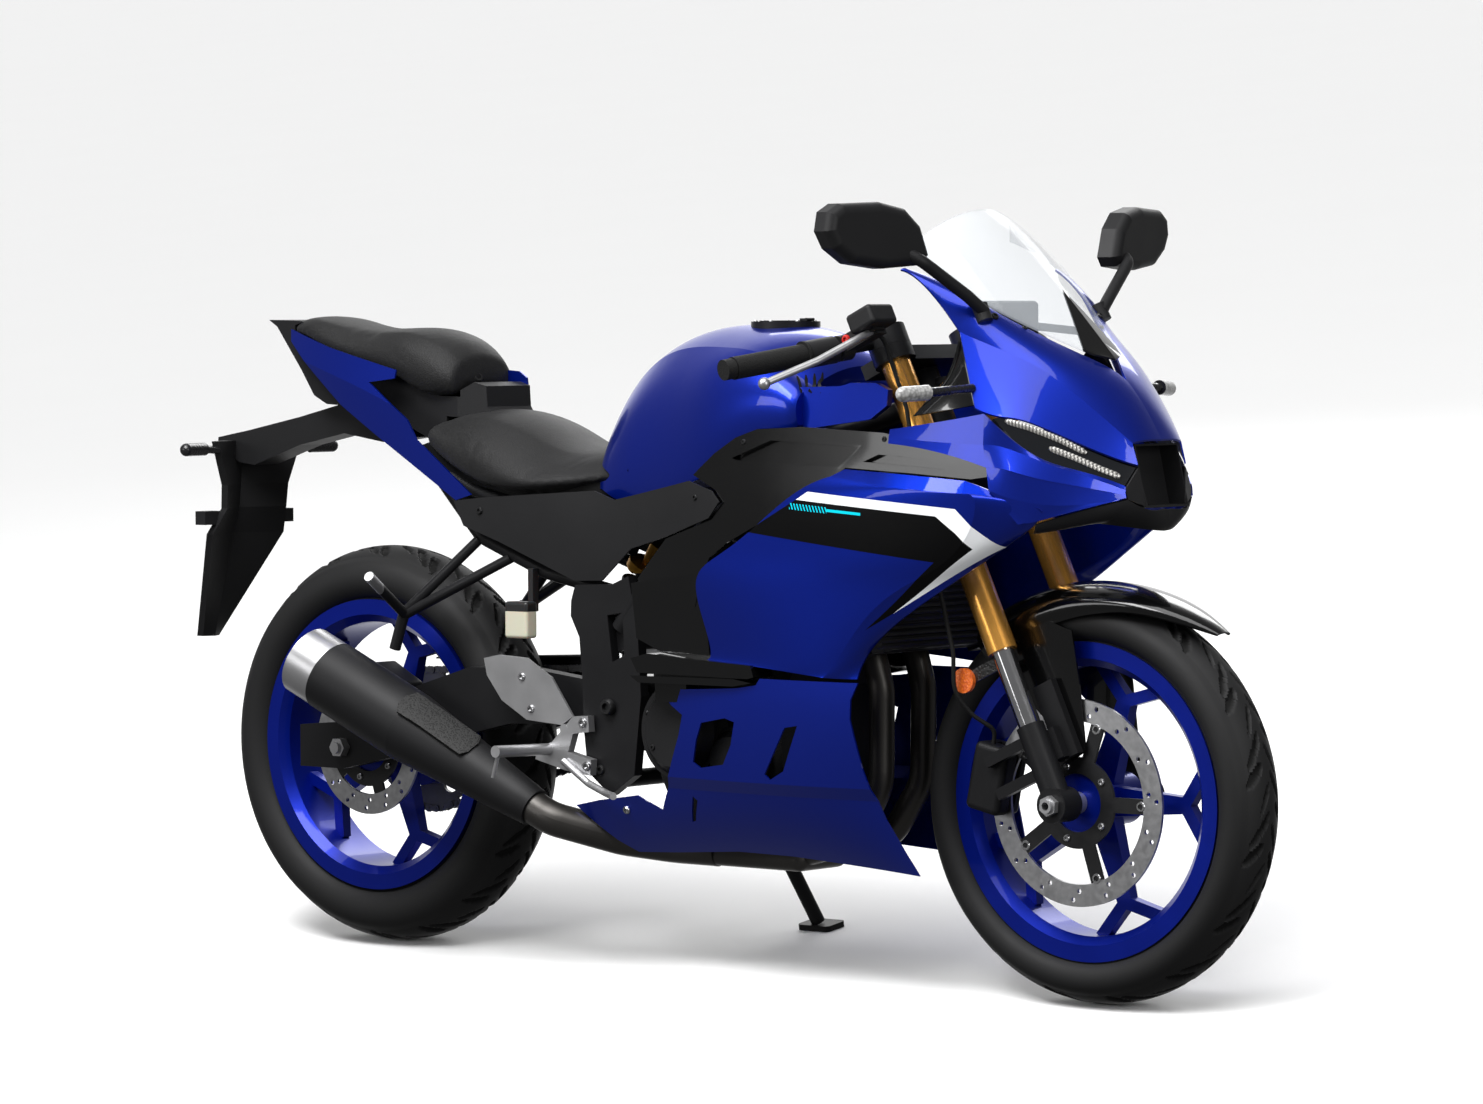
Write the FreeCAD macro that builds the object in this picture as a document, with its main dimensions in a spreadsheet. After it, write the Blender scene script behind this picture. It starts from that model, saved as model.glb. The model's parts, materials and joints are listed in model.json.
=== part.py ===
import FreeCAD, Part
import math
import os
from FreeCAD import Matrix, Placement, Rotation, Vector

# Sport bike with a tube frame, a parallel twin and a full fairing, leaning on its side stand.
# Drawn upright in millimetres: X forward, Y to the rider's left, Z up, origin on the floor
# under the rear axle. The last section leans the whole machine over to the left.

SIZES = {
    "wheelbase": 1380.0,
    "rake": 25.0,
    "trail": 95.0,
    "lean": 8.0,
    "steering_lock": 27.0,
    "front_tyre_radius": 293.0,
    "front_tyre_width": 110.0,
    "front_crown_radius": 56.0,
    "rear_tyre_radius": 314.0,
    "rear_tyre_width": 140.0,
    "rear_crown_radius": 70.0,
    "rim_seat_radius": 216.0,
    "rim_flange_height": 14.0,
    "front_rim_width": 84.0,
    "rear_rim_width": 116.0,
    "rim_well_wall": 6.0,
    "spoke_thickness": 26.0,
    "hub_radius": 38.0,
    "front_disc_radius": 149.0,
    "rear_disc_radius": 110.0,
    "disc_thickness": 4.5,
    "front_disc_offset": 58.0,
    "rear_disc_offset": 65.0,
    "front_axle_radius": 10.0,
    "front_axle_bore": 6.0,
    "rear_axle_radius": 9.0,
    "axle_clearance": 0.05,
    "fork_spread": 101.6,
    "fork_outer_radius": 22.0,
    "fork_inner_radius": 16.5,
    "fork_length": 722.0,
    "fork_collar_height": 237.0,
    "fork_bottom_height": 122.0,
    "handlebar_radius": 11.0,
    "grip_radius": 16.5,
    "frame_tube_radius": 16.0,
    "subframe_tube_radius": 11.0,
    "swingarm_spread": 112.0,
    "swingarm_wall": 26.0,
    "pivot_height": 404.0,
    "pivot_station": 575.0,
    "panel_wall": 3.0,
    "exhaust_pipe_radius": 19.0,
    "silencer_radius": 56.0,
    "chain_offset": 86.0,
    "chain_pitch": 15.875,
    "rear_sprocket_teeth": 44.0,
    "front_sprocket_teeth": 14.0,
    "stand_tube_radius": 11.0,
    "running_gap": 0.3,
}

doc = FreeCAD.newDocument("sport_bike")
sheet = doc.addObject("Spreadsheet::Sheet", "Sizes")
for row, (name, value) in enumerate(SIZES.items(), start=1):
    sheet.set("A%d" % row, name)
    sheet.set("B%d" % row, str(value))
    sheet.setAlias("B%d" % row, name)
doc.recompute()


def size(name):
    return float(sheet.get(name))


# The panels were drawn on this wheelbase, and their stations follow the real one.
DRAWN_WHEELBASE = 1380.0
STRETCH = size("wheelbase") / DRAWN_WHEELBASE

REAR_AXLE = Vector(0, 0, size("rear_tyre_radius"))
FRONT_AXLE = Vector(size("wheelbase"), 0, size("front_tyre_radius"))
RAKE = math.radians(size("rake"))
STEER_AXIS = Vector(-math.sin(RAKE), 0, math.cos(RAKE))
# How far the front axle stands ahead of the steering axis.
FORK_OFFSET = size("front_tyre_radius") * math.sin(RAKE) - size("trail") * math.cos(RAKE)
PIVOT = Vector(size("pivot_station") * STRETCH, 0, size("pivot_height"))

AT_REST = Placement()
ON_FRONT_AXLE = Placement(FRONT_AXLE, Rotation())
ON_REAR_AXLE = Placement(REAR_AXLE, Rotation())
# The fork's own frame: X ahead of the legs, Y left, Z up along the legs from the front axle.
ON_FORK = Placement(FRONT_AXLE, Rotation(Vector(0, 1, 0), -size("rake")))
NODES = []


def node(label, shape, place=AT_REST):
    feature = doc.addObject("Part::Feature", label)
    feature.Label = label
    feature.Shape = shape
    NODES.append((feature, place.multiply(shape.Placement)))
    return feature


def keep(feature, label, place=AT_REST):
    feature.Label = label
    NODES.append((feature, place))
    return feature


def primitive(kind, name, place=None, **sizes):
    thing = doc.addObject(kind, name)
    for prop, rule in sizes.items():
        if isinstance(rule, str):
            thing.setExpression(prop, rule)
        else:
            setattr(thing, prop, rule)
    if place:
        thing.Placement = place
    return thing


def boolean(kind, name, *shapes):
    thing = doc.addObject(kind, name)
    if kind == "Part::Cut":
        thing.Base = shapes[0]
        thing.Tool = shapes[1]
    else:
        thing.Shapes = list(shapes)
    return thing


def at(station, half_width, height):
    return Vector(station * STRETCH, -half_width, height)


def rod(start, end, radius):
    way = end - start
    return Part.makeCylinder(radius, way.Length, start, way)


def union(*shapes):
    first = shapes[0]
    return first.fuse(list(shapes[1:])).removeSplitter() if len(shapes) > 1 else first


def group(*shapes):
    return Part.makeCompound(list(shapes))


def mirrored(shape):
    return shape.mirror(Vector(0, 0, 0), Vector(0, 1, 0))


def both_sides(shape):
    return group(shape, mirrored(shape))


def across(radius, half_width, centre=Vector(0, 0, 0)):
    """A cylinder along Y, centred on a point."""
    base = centre - Vector(0, half_width, 0)
    return Part.makeCylinder(radius, 2 * half_width, base, Vector(0, 1, 0))


def block(low, high):
    return Part.makeBox(high.x - low.x, high.y - low.y, high.z - low.z, low)


def curve(points):
    if len(points) == 2:
        return Part.LineSegment(points[0], points[1]).toShape()
    line = Part.BSplineCurve()
    last = len(points) - 1
    line.interpolate(Points=points, Parameters=[i / last for i in range(last + 1)])
    return line.toShape()


def closed_face(runs):
    return Part.Face(Part.Wire([curve(run) for run in runs]))


def prism(outline, low_y, high_y):
    """A side-view outline of (station, height) corners, extruded from one Y to another."""
    corners = [Vector(x * STRETCH, low_y, z) for x, z in outline]
    face = Part.Face(Part.makePolygon(corners + corners[:1]))
    return face.extrude(Vector(0, high_y - low_y, 0))


def skin(groups, push):
    """A wall whose outer face runs through rows of curves, smooth in a group, creased between."""
    faces = []
    for rows in groups:
        wires = [Part.Wire([curve(run) for run in row]) for row in rows]
        faces += Part.makeLoft(wires, False, len(rows) == 2).Faces
    outer = Part.makeShell(faces)
    outer.sewShape()
    rim = [e for e in outer.Edges if len(outer.ancestorsOfType(e, Part.Face)) == 1]
    inner = [f.translated(push) for f in outer.Faces]
    walls = [e.extrude(push) for e in rim]
    shell = Part.makeShell(outer.Faces + inner + walls)
    shell.sewShape()
    solid = Part.makeSolid(shell if shell.ShapeType == "Shell" else shell.Shells[0])
    if solid.Volume < 0:
        solid.reverse()
    return solid


def sections(stations):
    """A solid through half sections: each station gives its top, shoulder, flank and foot."""
    wires = []
    for x, top, shoulder, flank, foot in stations:
        def corner(pair, sign):
            return Vector(x * STRETCH, sign * pair[0], pair[1])
        crown = curve([corner(shoulder, -1), Vector(x * STRETCH, 0, top), corner(shoulder, 1)])
        left = curve([corner(shoulder, 1), corner(flank, 1), corner(foot, 1)])
        base = curve([corner(foot, 1), corner(foot, -1)])
        right = curve([corner(foot, -1), corner(flank, -1), corner(shoulder, -1)])
        wires.append(Part.Wire([crown, left, base, right]))
    return Part.makeLoft(wires, True, False)


def bent_path(points, bend):
    """Straight runs joined by tangent arcs of one radius, less where a run is short."""
    edges = []
    start = points[0]
    for i in range(1, len(points) - 1):
        before = (points[i - 1] - points[i])
        after = (points[i + 1] - points[i])
        half = before.getAngle(after) / 2
        reach = min(bend / math.tan(half), 0.45 * before.Length, 0.45 * after.Length)
        before.normalize()
        after.normalize()
        enter = points[i] + before * reach
        leave = points[i] + after * reach
        middle_way = before + after
        middle_way.normalize()
        radius = reach * math.tan(half)
        middle = points[i] + middle_way * (radius / math.sin(half) - radius)
        edges.append(Part.LineSegment(start, enter).toShape())
        edges.append(Part.Arc(enter, middle, leave).toShape())
        start = leave
    edges.append(Part.LineSegment(start, points[-1]).toShape())
    return Part.Wire(edges)


def tube(points, radius, bend=40.0, bore=0.0):
    path = bent_path(points, bend)
    way = points[1] - points[0]
    ring = Part.Wire(Part.makeCircle(radius, points[0], way))
    body = path.makePipeShell([ring], True, True)
    if bore:
        hole = Part.Wire(Part.makeCircle(bore, points[0], way))
        body = body.cut(path.makePipeShell([hole], True, True))
    return body


def turned(profile, axis=Vector(0, 1, 0)):
    """A closed outline of (along the axle, radius) corners and arcs, turned about the axle."""
    edges = []
    for run in profile:
        points = [Vector(r, y, 0) for y, r in run]
        if len(points) == 2:
            edges.append(Part.LineSegment(points[0], points[1]).toShape())
        else:
            edges.append(Part.Arc(points[0], points[1], points[2]).toShape())
    return Part.Face(Part.Wire(edges)).revolve(Vector(0, 0, 0), axis, 360)


def spun(shape, count, index, axis=Vector(0, 1, 0)):
    copy = shape.copy()
    copy.rotate(Vector(0, 0, 0), axis, 360.0 * index / count)
    return copy


def ring_of(shape, count):
    return [spun(shape, count, i) for i in range(count)]


# Tyres: radial motorcycle tyres with a round crown, hollow down to the rim.
# The beads stand this share of the half width from the middle.
BEAD_SHARE = 0.70


def tyre(radius, width, crown_radius):
    seat = size("rim_seat_radius")
    wall = 8.0
    half = width / 2
    edge_angle = math.radians(42.0)
    edge_y = crown_radius * math.sin(edge_angle)
    edge_r = radius - crown_radius * (1 - math.cos(edge_angle))
    bead_y = half * BEAD_SHARE
    bead_r = seat + 0.3
    lip_r = seat + size("rim_flange_height") + 2.0
    waist = (lip_r + edge_r) / 2
    inside = radius - wall - 3.0
    return turned([
        [(-edge_y, edge_r), (0, radius), (edge_y, edge_r)],
        [(edge_y, edge_r), (half, waist), (bead_y, lip_r)],
        [(bead_y, lip_r), (bead_y, bead_r)],
        [(bead_y, bead_r), (bead_y - wall, bead_r)],
        [(bead_y - wall, bead_r), (bead_y - wall, lip_r)],
        [(bead_y - wall, lip_r), (half - wall, waist), (edge_y - wall, edge_r - wall)],
        [(edge_y - wall, edge_r - wall), (0, inside), (wall - edge_y, edge_r - wall)],
        [(wall - edge_y, edge_r - wall), (wall - half, waist), (wall - bead_y, lip_r)],
        [(wall - bead_y, lip_r), (wall - bead_y, bead_r)],
        [(wall - bead_y, bead_r), (-bead_y, bead_r)],
        [(-bead_y, bead_r), (-bead_y, lip_r)],
        [(-bead_y, lip_r), (-half, waist), (-edge_y, edge_r)],
    ])


# Wheels: cast, with five spokes that fork in two before they reach the rim.
def rim(width, tyre_width, hub_half, bore, disc_seat, drive_seat):
    seat = size("rim_seat_radius")
    flange = seat + size("rim_flange_height")
    half = width / 2
    well = seat - 16.0
    inner = well - size("rim_well_wall")
    bead = tyre_width / 2 * BEAD_SHARE + size("running_gap")
    barrel = turned([
        [(-half, flange), (-half, inner + 12.0)],
        [(-half, inner + 12.0), (-half + 14.0, inner)],
        [(-half + 14.0, inner), (half - 14.0, inner)],
        [(half - 14.0, inner), (half, inner + 12.0)],
        [(half, inner + 12.0), (half, flange)],
        [(half, flange), (bead, flange)],
        [(bead, flange), (bead, seat)],
        [(bead, seat), (14.0, seat)],
        [(14.0, seat), (8.0, well)],
        [(8.0, well), (-8.0, well)],
        [(-8.0, well), (-14.0, seat)],
        [(-14.0, seat), (-bead, seat)],
        [(-bead, seat), (-bead, flange)],
        [(-bead, flange), (-half, flange)],
    ])
    hub = across(size("hub_radius"), hub_half)
    fork_radius = seat * 0.70
    rim_radius = inner + 3.0
    thick = size("spoke_thickness")
    stem_half = 14.0
    arm_half = 9.0
    arm_angle = math.radians(17.0)
    tip = Vector(rim_radius * math.cos(arm_angle), 0, rim_radius * math.sin(arm_angle))
    crotch = Vector(fork_radius, 0, 0)
    outlines = [[Vector(20, 0, -22), Vector(fork_radius, 0, -stem_half + 2),
                 Vector(fork_radius + 8, 0, 0), Vector(fork_radius, 0, stem_half - 2), Vector(20, 0, 22)]]
    for side in (1, -1):
        end = Vector(tip.x, 0, side * tip.z)
        way = end - crotch
        way.normalize()
        square = Vector(-way.z, 0, way.x)
        back = crotch - way * 10.0
        outlines.append([back - square * arm_half, end - square * arm_half,
                         end + square * arm_half, back + square * arm_half])
    spoke = [Part.Face(Part.makePolygon(o + o[:1])).extrude(Vector(0, thick, 0)) for o in outlines]
    spoke = union(*spoke).translated(Vector(0, -thick / 2, 0))
    cone = turned([
        [(-thick / 2, 0), (thick / 2, 0)],
        [(thick / 2, 0), (thick / 2 - 5.0, rim_radius + 4.0)],
        [(thick / 2 - 5.0, rim_radius + 4.0), (5.0 - thick / 2, rim_radius + 4.0)],
        [(5.0 - thick / 2, rim_radius + 4.0), (-thick / 2, 0)],
    ])
    spoke = spoke.common(cone)
    wheel = union(barrel, hub, *ring_of(spoke, 5))
    disc_flange = Part.makeCylinder(58.0, 8.0, Vector(0, -disc_seat, 0), Vector(0, 1, 0))
    parts = [wheel, disc_flange]
    if drive_seat:
        drum = Part.makeCylinder(72.0, 30.0, Vector(0, drive_seat - 30.0, 0), Vector(0, 1, 0))
        pocket = Part.makeCylinder(34.0, 30.0, Vector(0, hub_half, 0), Vector(0, 1, 0))
        parts.append(drum.cut(pocket))
    return union(*parts).cut(across(bore, 200))


FRONT_HUB = 56.0
REAR_HUB = 63.0
HUB_GAP = 0.5
front_disc_face = size("front_disc_offset") - size("disc_thickness") / 2
rear_disc_face = size("rear_disc_offset") - size("disc_thickness") / 2
sprocket_face = size("chain_offset") - 3.3
front_spindle_bore = size("front_axle_radius") + size("axle_clearance")
rear_spindle_bore = size("rear_axle_radius") + size("axle_clearance")

node("front_tyre", tyre(size("front_tyre_radius"), size("front_tyre_width"),
                        size("front_crown_radius")), ON_FRONT_AXLE)
node("rear_tyre", tyre(size("rear_tyre_radius"), size("rear_tyre_width"),
                       size("rear_crown_radius")), ON_REAR_AXLE)
node("front_rim", rim(size("front_rim_width"), size("front_tyre_width"), FRONT_HUB,
                      front_spindle_bore, front_disc_face, 0), ON_FRONT_AXLE)
node("rear_rim", rim(size("rear_rim_width"), size("rear_tyre_width"), REAR_HUB,
                     rear_spindle_bore, rear_disc_face, sprocket_face), ON_REAR_AXLE)


# Brake discs: drilled steel rotors, the front one floating on a dark five-armed carrier.
def disc(radius, band, offset, carrier_bore, lugs):
    thick = size("disc_thickness")
    low = Vector(0, -offset - thick / 2, 0)
    rotor = Part.makeCylinder(radius, thick, low, Vector(0, 1, 0))
    rotor = rotor.cut(Part.makeCylinder(radius - band, thick, low, Vector(0, 1, 0)))
    holes = []
    per_lug = 3
    for i in range(lugs * per_lug):
        turn = 2 * math.pi * i / (lugs * per_lug)
        for k in (0.3, 0.7):
            reach = radius - band * k
            swing = turn + k * 0.2
            spot = Vector(reach * math.cos(swing), low.y, reach * math.sin(swing))
            holes.append(Part.makeCylinder(3.5, thick, spot, Vector(0, 1, 0)))
    rotor = rotor.cut(holes)
    ring = Part.makeCylinder(carrier_bore + 24.0, thick, low, Vector(0, 1, 0))
    arms = []
    for i in range(lugs):
        arm = block(Vector(carrier_bore + 10.0, low.y, -11.0), Vector(radius - band + 6.0, low.y + thick, 11.0))
        arms.append(spun(arm, lugs, i))
    carrier = union(ring, *arms).cut(across(carrier_bore, 200))
    return union(rotor, carrier)


node("front_disc", disc(size("front_disc_radius"), 32.0, size("front_disc_offset"), 42.0, 5), ON_FRONT_AXLE)
node("rear_disc", disc(size("rear_disc_radius"), 32.0, size("rear_disc_offset"), 42.0, 5), ON_REAR_AXLE)


# Final drive: rear sprocket on the hub, and the roller chain as one fixed loop round both wheels.
def pitch_radius(teeth):
    return size("chain_pitch") / (2 * math.sin(math.pi / teeth))


REAR_TEETH = int(size("rear_sprocket_teeth"))
FRONT_TEETH = int(size("front_sprocket_teeth"))
REAR_PITCH = pitch_radius(REAR_TEETH)
FRONT_PITCH = pitch_radius(FRONT_TEETH)
DRIVE_SHAFT = Vector(PIVOT.x + 82.0, 0, PIVOT.z + 14.0)


def sprocket(teeth, bore, thick):
    pitch = pitch_radius(teeth)
    points = []
    for i in range(teeth):
        for share, reach in ((-0.30, -4.6), (0.30, -4.6), (0.42, 3.2), (0.58, 3.2)):
            turn = 2 * math.pi * (i + share) / teeth
            radius = pitch + reach
            points.append(Vector(radius * math.cos(turn), 0, radius * math.sin(turn)))
    face = Part.Face(Part.makePolygon(points + points[:1]))
    wheel = face.extrude(Vector(0, thick, 0)).translated(Vector(0, -thick / 2, 0))
    return wheel.cut(across(bore, 50))


gear = sprocket(REAR_TEETH, 40.0, 6.0)
windows = [spun(across(16.0, 20, Vector(78.0, 0, 0)), 6, i) for i in range(6)]
node("rear_sprocket", gear.cut(windows).translated(Vector(0, size("chain_offset"), 0)), ON_REAR_AXLE)


def chain_loop(offset):
    """The closed line at one distance outside the pitch line, and its length."""
    away = DRIVE_SHAFT - REAR_AXLE
    span = math.hypot(away.x, away.z)
    tilt = math.atan2(away.z, away.x)
    wrap = math.asin((REAR_PITCH - FRONT_PITCH) / span)
    top = tilt + math.pi / 2 - wrap
    low = tilt - math.pi / 2 + wrap

    def spot(centre, radius, turn):
        return Vector(centre.x + radius * math.cos(turn), 0, centre.z + radius * math.sin(turn))
    rear = REAR_PITCH + offset
    front = FRONT_PITCH + offset
    ends = [spot(REAR_AXLE, rear, top), spot(DRIVE_SHAFT, front, top),
            spot(DRIVE_SHAFT, front, low), spot(REAR_AXLE, rear, low)]
    return Part.Wire([
        Part.LineSegment(ends[0], ends[1]).toShape(),
        Part.Arc(ends[1], spot(DRIVE_SHAFT, front, tilt), ends[2]).toShape(),
        Part.LineSegment(ends[2], ends[3]).toShape(),
        Part.Arc(ends[3], spot(REAR_AXLE, rear, tilt + math.pi), ends[0]).toShape(),
    ])


chain_height = 6.5
outside = Part.Face(chain_loop(chain_height)).extrude(Vector(0, 16.0, 0))
inside = Part.Face(chain_loop(-chain_height)).extrude(Vector(0, 16.0, 0))
band = outside.cut(inside).translated(Vector(0, size("chain_offset") - 8.0, 0))
lane = Part.Face(chain_loop(chain_height - 2.0)).extrude(Vector(0, 8.0, 0))
lane = lane.translated(Vector(0, size("chain_offset") - 4.0, 0))
node("chain", band.cut(lane))


# Fork: upside-down legs in two yokes, drawn in the fork's own frame.
def leg_pair(label, radius, low, high):
    legs = []
    for name, sign in (("left", "1"), ("right", "-1")):
        leg = primitive("Part::Cylinder", label + "_" + name, Radius=radius, Height=high + " - " + low)
        leg.setExpression(".Placement.Base.y", sign + " * Sizes.fork_spread")
        leg.setExpression(".Placement.Base.z", low)
        legs.append(leg)
    return keep(boolean("Part::MultiFuse", label, *legs), label, ON_FORK)


leg_pair("fork_outer_tubes", "Sizes.fork_outer_radius", "Sizes.fork_collar_height", "Sizes.fork_length")
leg_pair("fork_inner_tubes", "Sizes.fork_inner_radius", "Sizes.fork_bottom_height", "Sizes.fork_collar_height")

SPREAD = size("fork_spread")
OUTER = size("fork_outer_radius")
STEM = Vector(-FORK_OFFSET, 0, 0)
YOKE_TOP = size("fork_length") - 30.0
YOKE_LOW = YOKE_TOP - 190.0
YOKE_THICK = 22.0
STEM_RADIUS = 15.0
CLAMP_RADIUS = OUTER + 9.0


def yoke(height):
    spine = block(Vector(STEM.x - 24, -SPREAD, height), Vector(16, SPREAD, height + YOKE_THICK))
    ends = [Part.makeCylinder(CLAMP_RADIUS, YOKE_THICK, Vector(0, s * SPREAD, height)) for s in (1, -1)]
    holes = [Part.makeCylinder(OUTER, YOKE_THICK, Vector(0, s * SPREAD, height)) for s in (1, -1)]
    return union(spine, *ends).cut(holes)


stem = Part.makeCylinder(STEM_RADIUS, YOKE_TOP - YOKE_LOW + 34, Vector(STEM.x, 0, YOKE_LOW - 12))
stem_bore = Part.makeCylinder(8.5, 40.0, Vector(STEM.x, 0, YOKE_LOW - 12))
node("fork_yokes", union(yoke(YOKE_TOP), yoke(YOKE_LOW), stem).cut(stem_bore), ON_FORK)


LUG_HALF = 21.0


def fork_bottom(side):
    top = size("fork_bottom_height")
    y = side * SPREAD
    barrel = Part.makeCylinder(LUG_HALF - 0.6, top, Vector(0, y, 0))
    lug = across(25.0, LUG_HALF, Vector(0, y, 0))
    stay = block(Vector(10, side * 72.7 - 6.4, 60), Vector(46, side * 72.7 + 6.4, 174))
    web = block(Vector(6, side * 84 - 9, 62), Vector(30, side * 84 + 9, 108))
    body = union(barrel, lug, stay, web)
    if side < 0:
        arms = [block(Vector(-96, -104, h), Vector(-10, -92, h + 16)) for h in (46, 96)]
        body = union(body, *arms)
    return body.cut(across(size("front_axle_radius"), 200))


node("fork_bottoms", group(fork_bottom(1), fork_bottom(-1)), ON_FORK)

# Front spindle: a hollow steel axle with a hexagon at each end and two spacers beside the hub.
LUG_INNER = SPREAD - LUG_HALF
LUG_OUTER = SPREAD + LUG_HALF


def hexagon(across_flats, low_y, high_y):
    reach = across_flats / math.sqrt(3)
    corners = [Vector(reach * math.cos(math.radians(60 * i)), low_y, reach * math.sin(math.radians(60 * i)))
               for i in range(6)]
    return Part.Face(Part.makePolygon(corners + corners[:1])).extrude(Vector(0, high_y - low_y, 0))


spacer = Part.makeCylinder(16.0, LUG_INNER - FRONT_HUB - HUB_GAP, Vector(0, FRONT_HUB + HUB_GAP, 0), Vector(0, 1, 0))
spacers = [spacer, mirrored(spacer)]
heads = [hexagon(26.0, LUG_OUTER, LUG_OUTER + 9), hexagon(26.0, -LUG_OUTER - 9, -LUG_OUTER)]
front_axle = union(across(size("front_axle_radius"), LUG_OUTER + 14), *spacers, *heads)
node("front_axle", front_axle.cut(across(size("front_axle_bore"), 200)), ON_FORK)


# Front caliper: straddles the rotor behind the right leg, on the two arms of the fork bottom.
def caliper(disc_radius, offset, turn, outer_y, inner_y, long):
    body = block(Vector(disc_radius - 36, -outer_y, -long), Vector(disc_radius + 24, -inner_y, long))
    body = body.makeFillet(9.0, body.Edges)
    gap = size("disc_thickness") / 2 + 5.0
    slot = block(Vector(0, -offset - gap, -200), Vector(disc_radius + 5, gap - offset, 200))
    body = body.cut(slot)
    body.rotate(Vector(0, 0, 0), Vector(0, 1, 0), -turn)
    return body


node("front_caliper", caliper(size("front_disc_radius"), size("front_disc_offset"), 143.0, 91.7, 34.0, 50.0),
     ON_FORK)


# Front mudguard: a thin arch over the tyre, narrowing to a tip ahead, with side plates to the legs.
def guard_section(turn, crown, low, half, wall):
    angle = math.radians(turn)

    def spot(y, radius):
        return Vector(radius * math.cos(angle), y, radius * math.sin(angle))
    drop = crown - low
    outer = [spot(-half, low), spot(-half * 0.86, crown - drop * 0.28), spot(0, crown),
             spot(half * 0.86, crown - drop * 0.28), spot(half, low)]
    inner = [spot(half - wall, low), spot(half * 0.86 - wall, crown - drop * 0.28 - wall),
             spot(0, crown - wall), spot(wall - half * 0.86, crown - drop * 0.28 - wall),
             spot(wall - half, low)]
    return Part.Wire([curve(outer), curve([outer[-1], inner[0]]), curve(inner), curve([inner[-1], outer[0]])])


GUARD = size("front_tyre_radius")
TYRE_HALF = size("front_tyre_width") / 2
guard_rows = [(49, 36, 29, -40), (58, 31, 12, -20), (70, 26, -4, -2), (85, 23, -22, 7), (104, 22, -40, 8), (128, 22, -44, 6)]
guard_wires = [guard_section(turn - size("rake"), GUARD + crown, GUARD + low, TYRE_HALF + wide, 2.5)
               for turn, crown, low, wide in guard_rows]
arch = Part.makeLoft(guard_wires, True, False)
plate_outline = [(-26, 236), (60, 262), (100, 225), (80, 150), (50, 60), (22, 56), (6, 120), (-14, 170)]
side_y = TYRE_HALF + 8.0
corners = [Vector(x, side_y, z) for x, z in plate_outline]
side_plate = Part.Face(Part.makePolygon(corners + corners[:1])).extrude(Vector(0, 3.0, 0))
node("front_mudguard", union(arch, side_plate, mirrored(side_plate)), ON_FORK)

# Clip-on bars, clamped round the tubes above the top yoke, with grips, levers and switches.
BAR_INNER = Vector(-8, 118, YOKE_TOP + 38)
BAR_OUTER = Vector(-90, 377, YOKE_TOP + 33.6)


def on_bar(y):
    share = (y - BAR_INNER.y) / (BAR_OUTER.y - BAR_INNER.y)
    return BAR_INNER + (BAR_OUTER - BAR_INNER) * share


BAR = size("handlebar_radius")
clamp = Part.makeCylinder(CLAMP_RADIUS, 30.0, Vector(0, SPREAD, YOKE_TOP + YOKE_THICK + 0.3))
clamp = clamp.cut(Part.makeCylinder(OUTER, 60.0, Vector(0, SPREAD, YOKE_TOP + YOKE_THICK)))
bar = rod(BAR_INNER, BAR_OUTER, BAR)
bar = bar.cut(Part.makeCylinder(OUTER, 80.0, Vector(0, SPREAD, YOKE_TOP + 10)))
node("handlebars", both_sides(union(clamp, bar)), ON_FORK)
grip = rod(on_bar(240), on_bar(362), size("grip_radius"))
flange = rod(on_bar(240), on_bar(244), size("grip_radius") + 4)
weight = rod(on_bar(363), on_bar(378), size("grip_radius") - 1.5)
bar_space = rod(on_bar(200), BAR_OUTER, BAR)
grips = group(union(grip, flange).cut(bar_space), weight.cut(bar_space))
node("grips", both_sides(grips), ON_FORK)

switch = rod(on_bar(192), on_bar(239), 20.0)
switch = switch.cut(rod(on_bar(180), on_bar(250), BAR))
perch = block(Vector(-16, 164, YOKE_TOP + 26), Vector(48, 186, YOKE_TOP + 50))
collar = rod(on_bar(166), on_bar(184), 19.0).cut(rod(on_bar(150), on_bar(200), BAR))
perch = union(perch.cut(rod(on_bar(150), on_bar(200), BAR)), collar)
controls = union(perch, switch)
reservoir = block(Vector(22, -214, YOKE_TOP + 34), Vector(70, -156, YOKE_TOP + 64))
reservoir = reservoir.makeFillet(6.0, reservoir.Edges)
pump = block(Vector(30, -196, YOKE_TOP + 30), Vector(52, -170, YOKE_TOP + 40))
right_controls = union(mirrored(controls), pump, reservoir)
node("hand_controls", group(controls, right_controls), ON_FORK)

LEVER_TIP = Vector(-42, 362, YOKE_TOP - 10)
lever = tube([Vector(38, 182, YOKE_TOP + 34), Vector(38, 222, YOKE_TOP + 22), Vector(4, 284, YOKE_TOP + 4), LEVER_TIP],
             5.5, 60.0)
ball = Part.makeSphere(9.0, LEVER_TIP)
lever = union(lever, ball)
node("control_levers", group(lever.cut(controls), mirrored(lever).cut(right_controls)), ON_FORK)

bracket = block(Vector(-70, 107, 214), Vector(-12, 111, 232))
lamp_disc = Part.makeCylinder(18.0, 7.0, Vector(-72, 111, 223), Vector(0, 1, 0))
bracket = bracket.cut(Part.makeCylinder(size("fork_inner_radius"), 60.0, Vector(0, SPREAD, 200)))
node("reflectors", both_sides(union(lamp_disc, bracket)), ON_FORK)

hose = tube([Vector(30, -163.7, YOKE_TOP + 38), Vector(28, -148, YOKE_TOP + 24), Vector(18, -141, YOKE_TOP - 80),
             Vector(-30, -140, 420), Vector(-44, -138, 330), Vector(-60, -133, 262), Vector(-88, -127, 212),
             Vector(-88, -104, 176), Vector(-76, -80, 146), Vector(-88, -78, 129.5)], 3.2, 60.0)
node("brake_hose", hose.cut(right_controls), ON_FORK)

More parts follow.
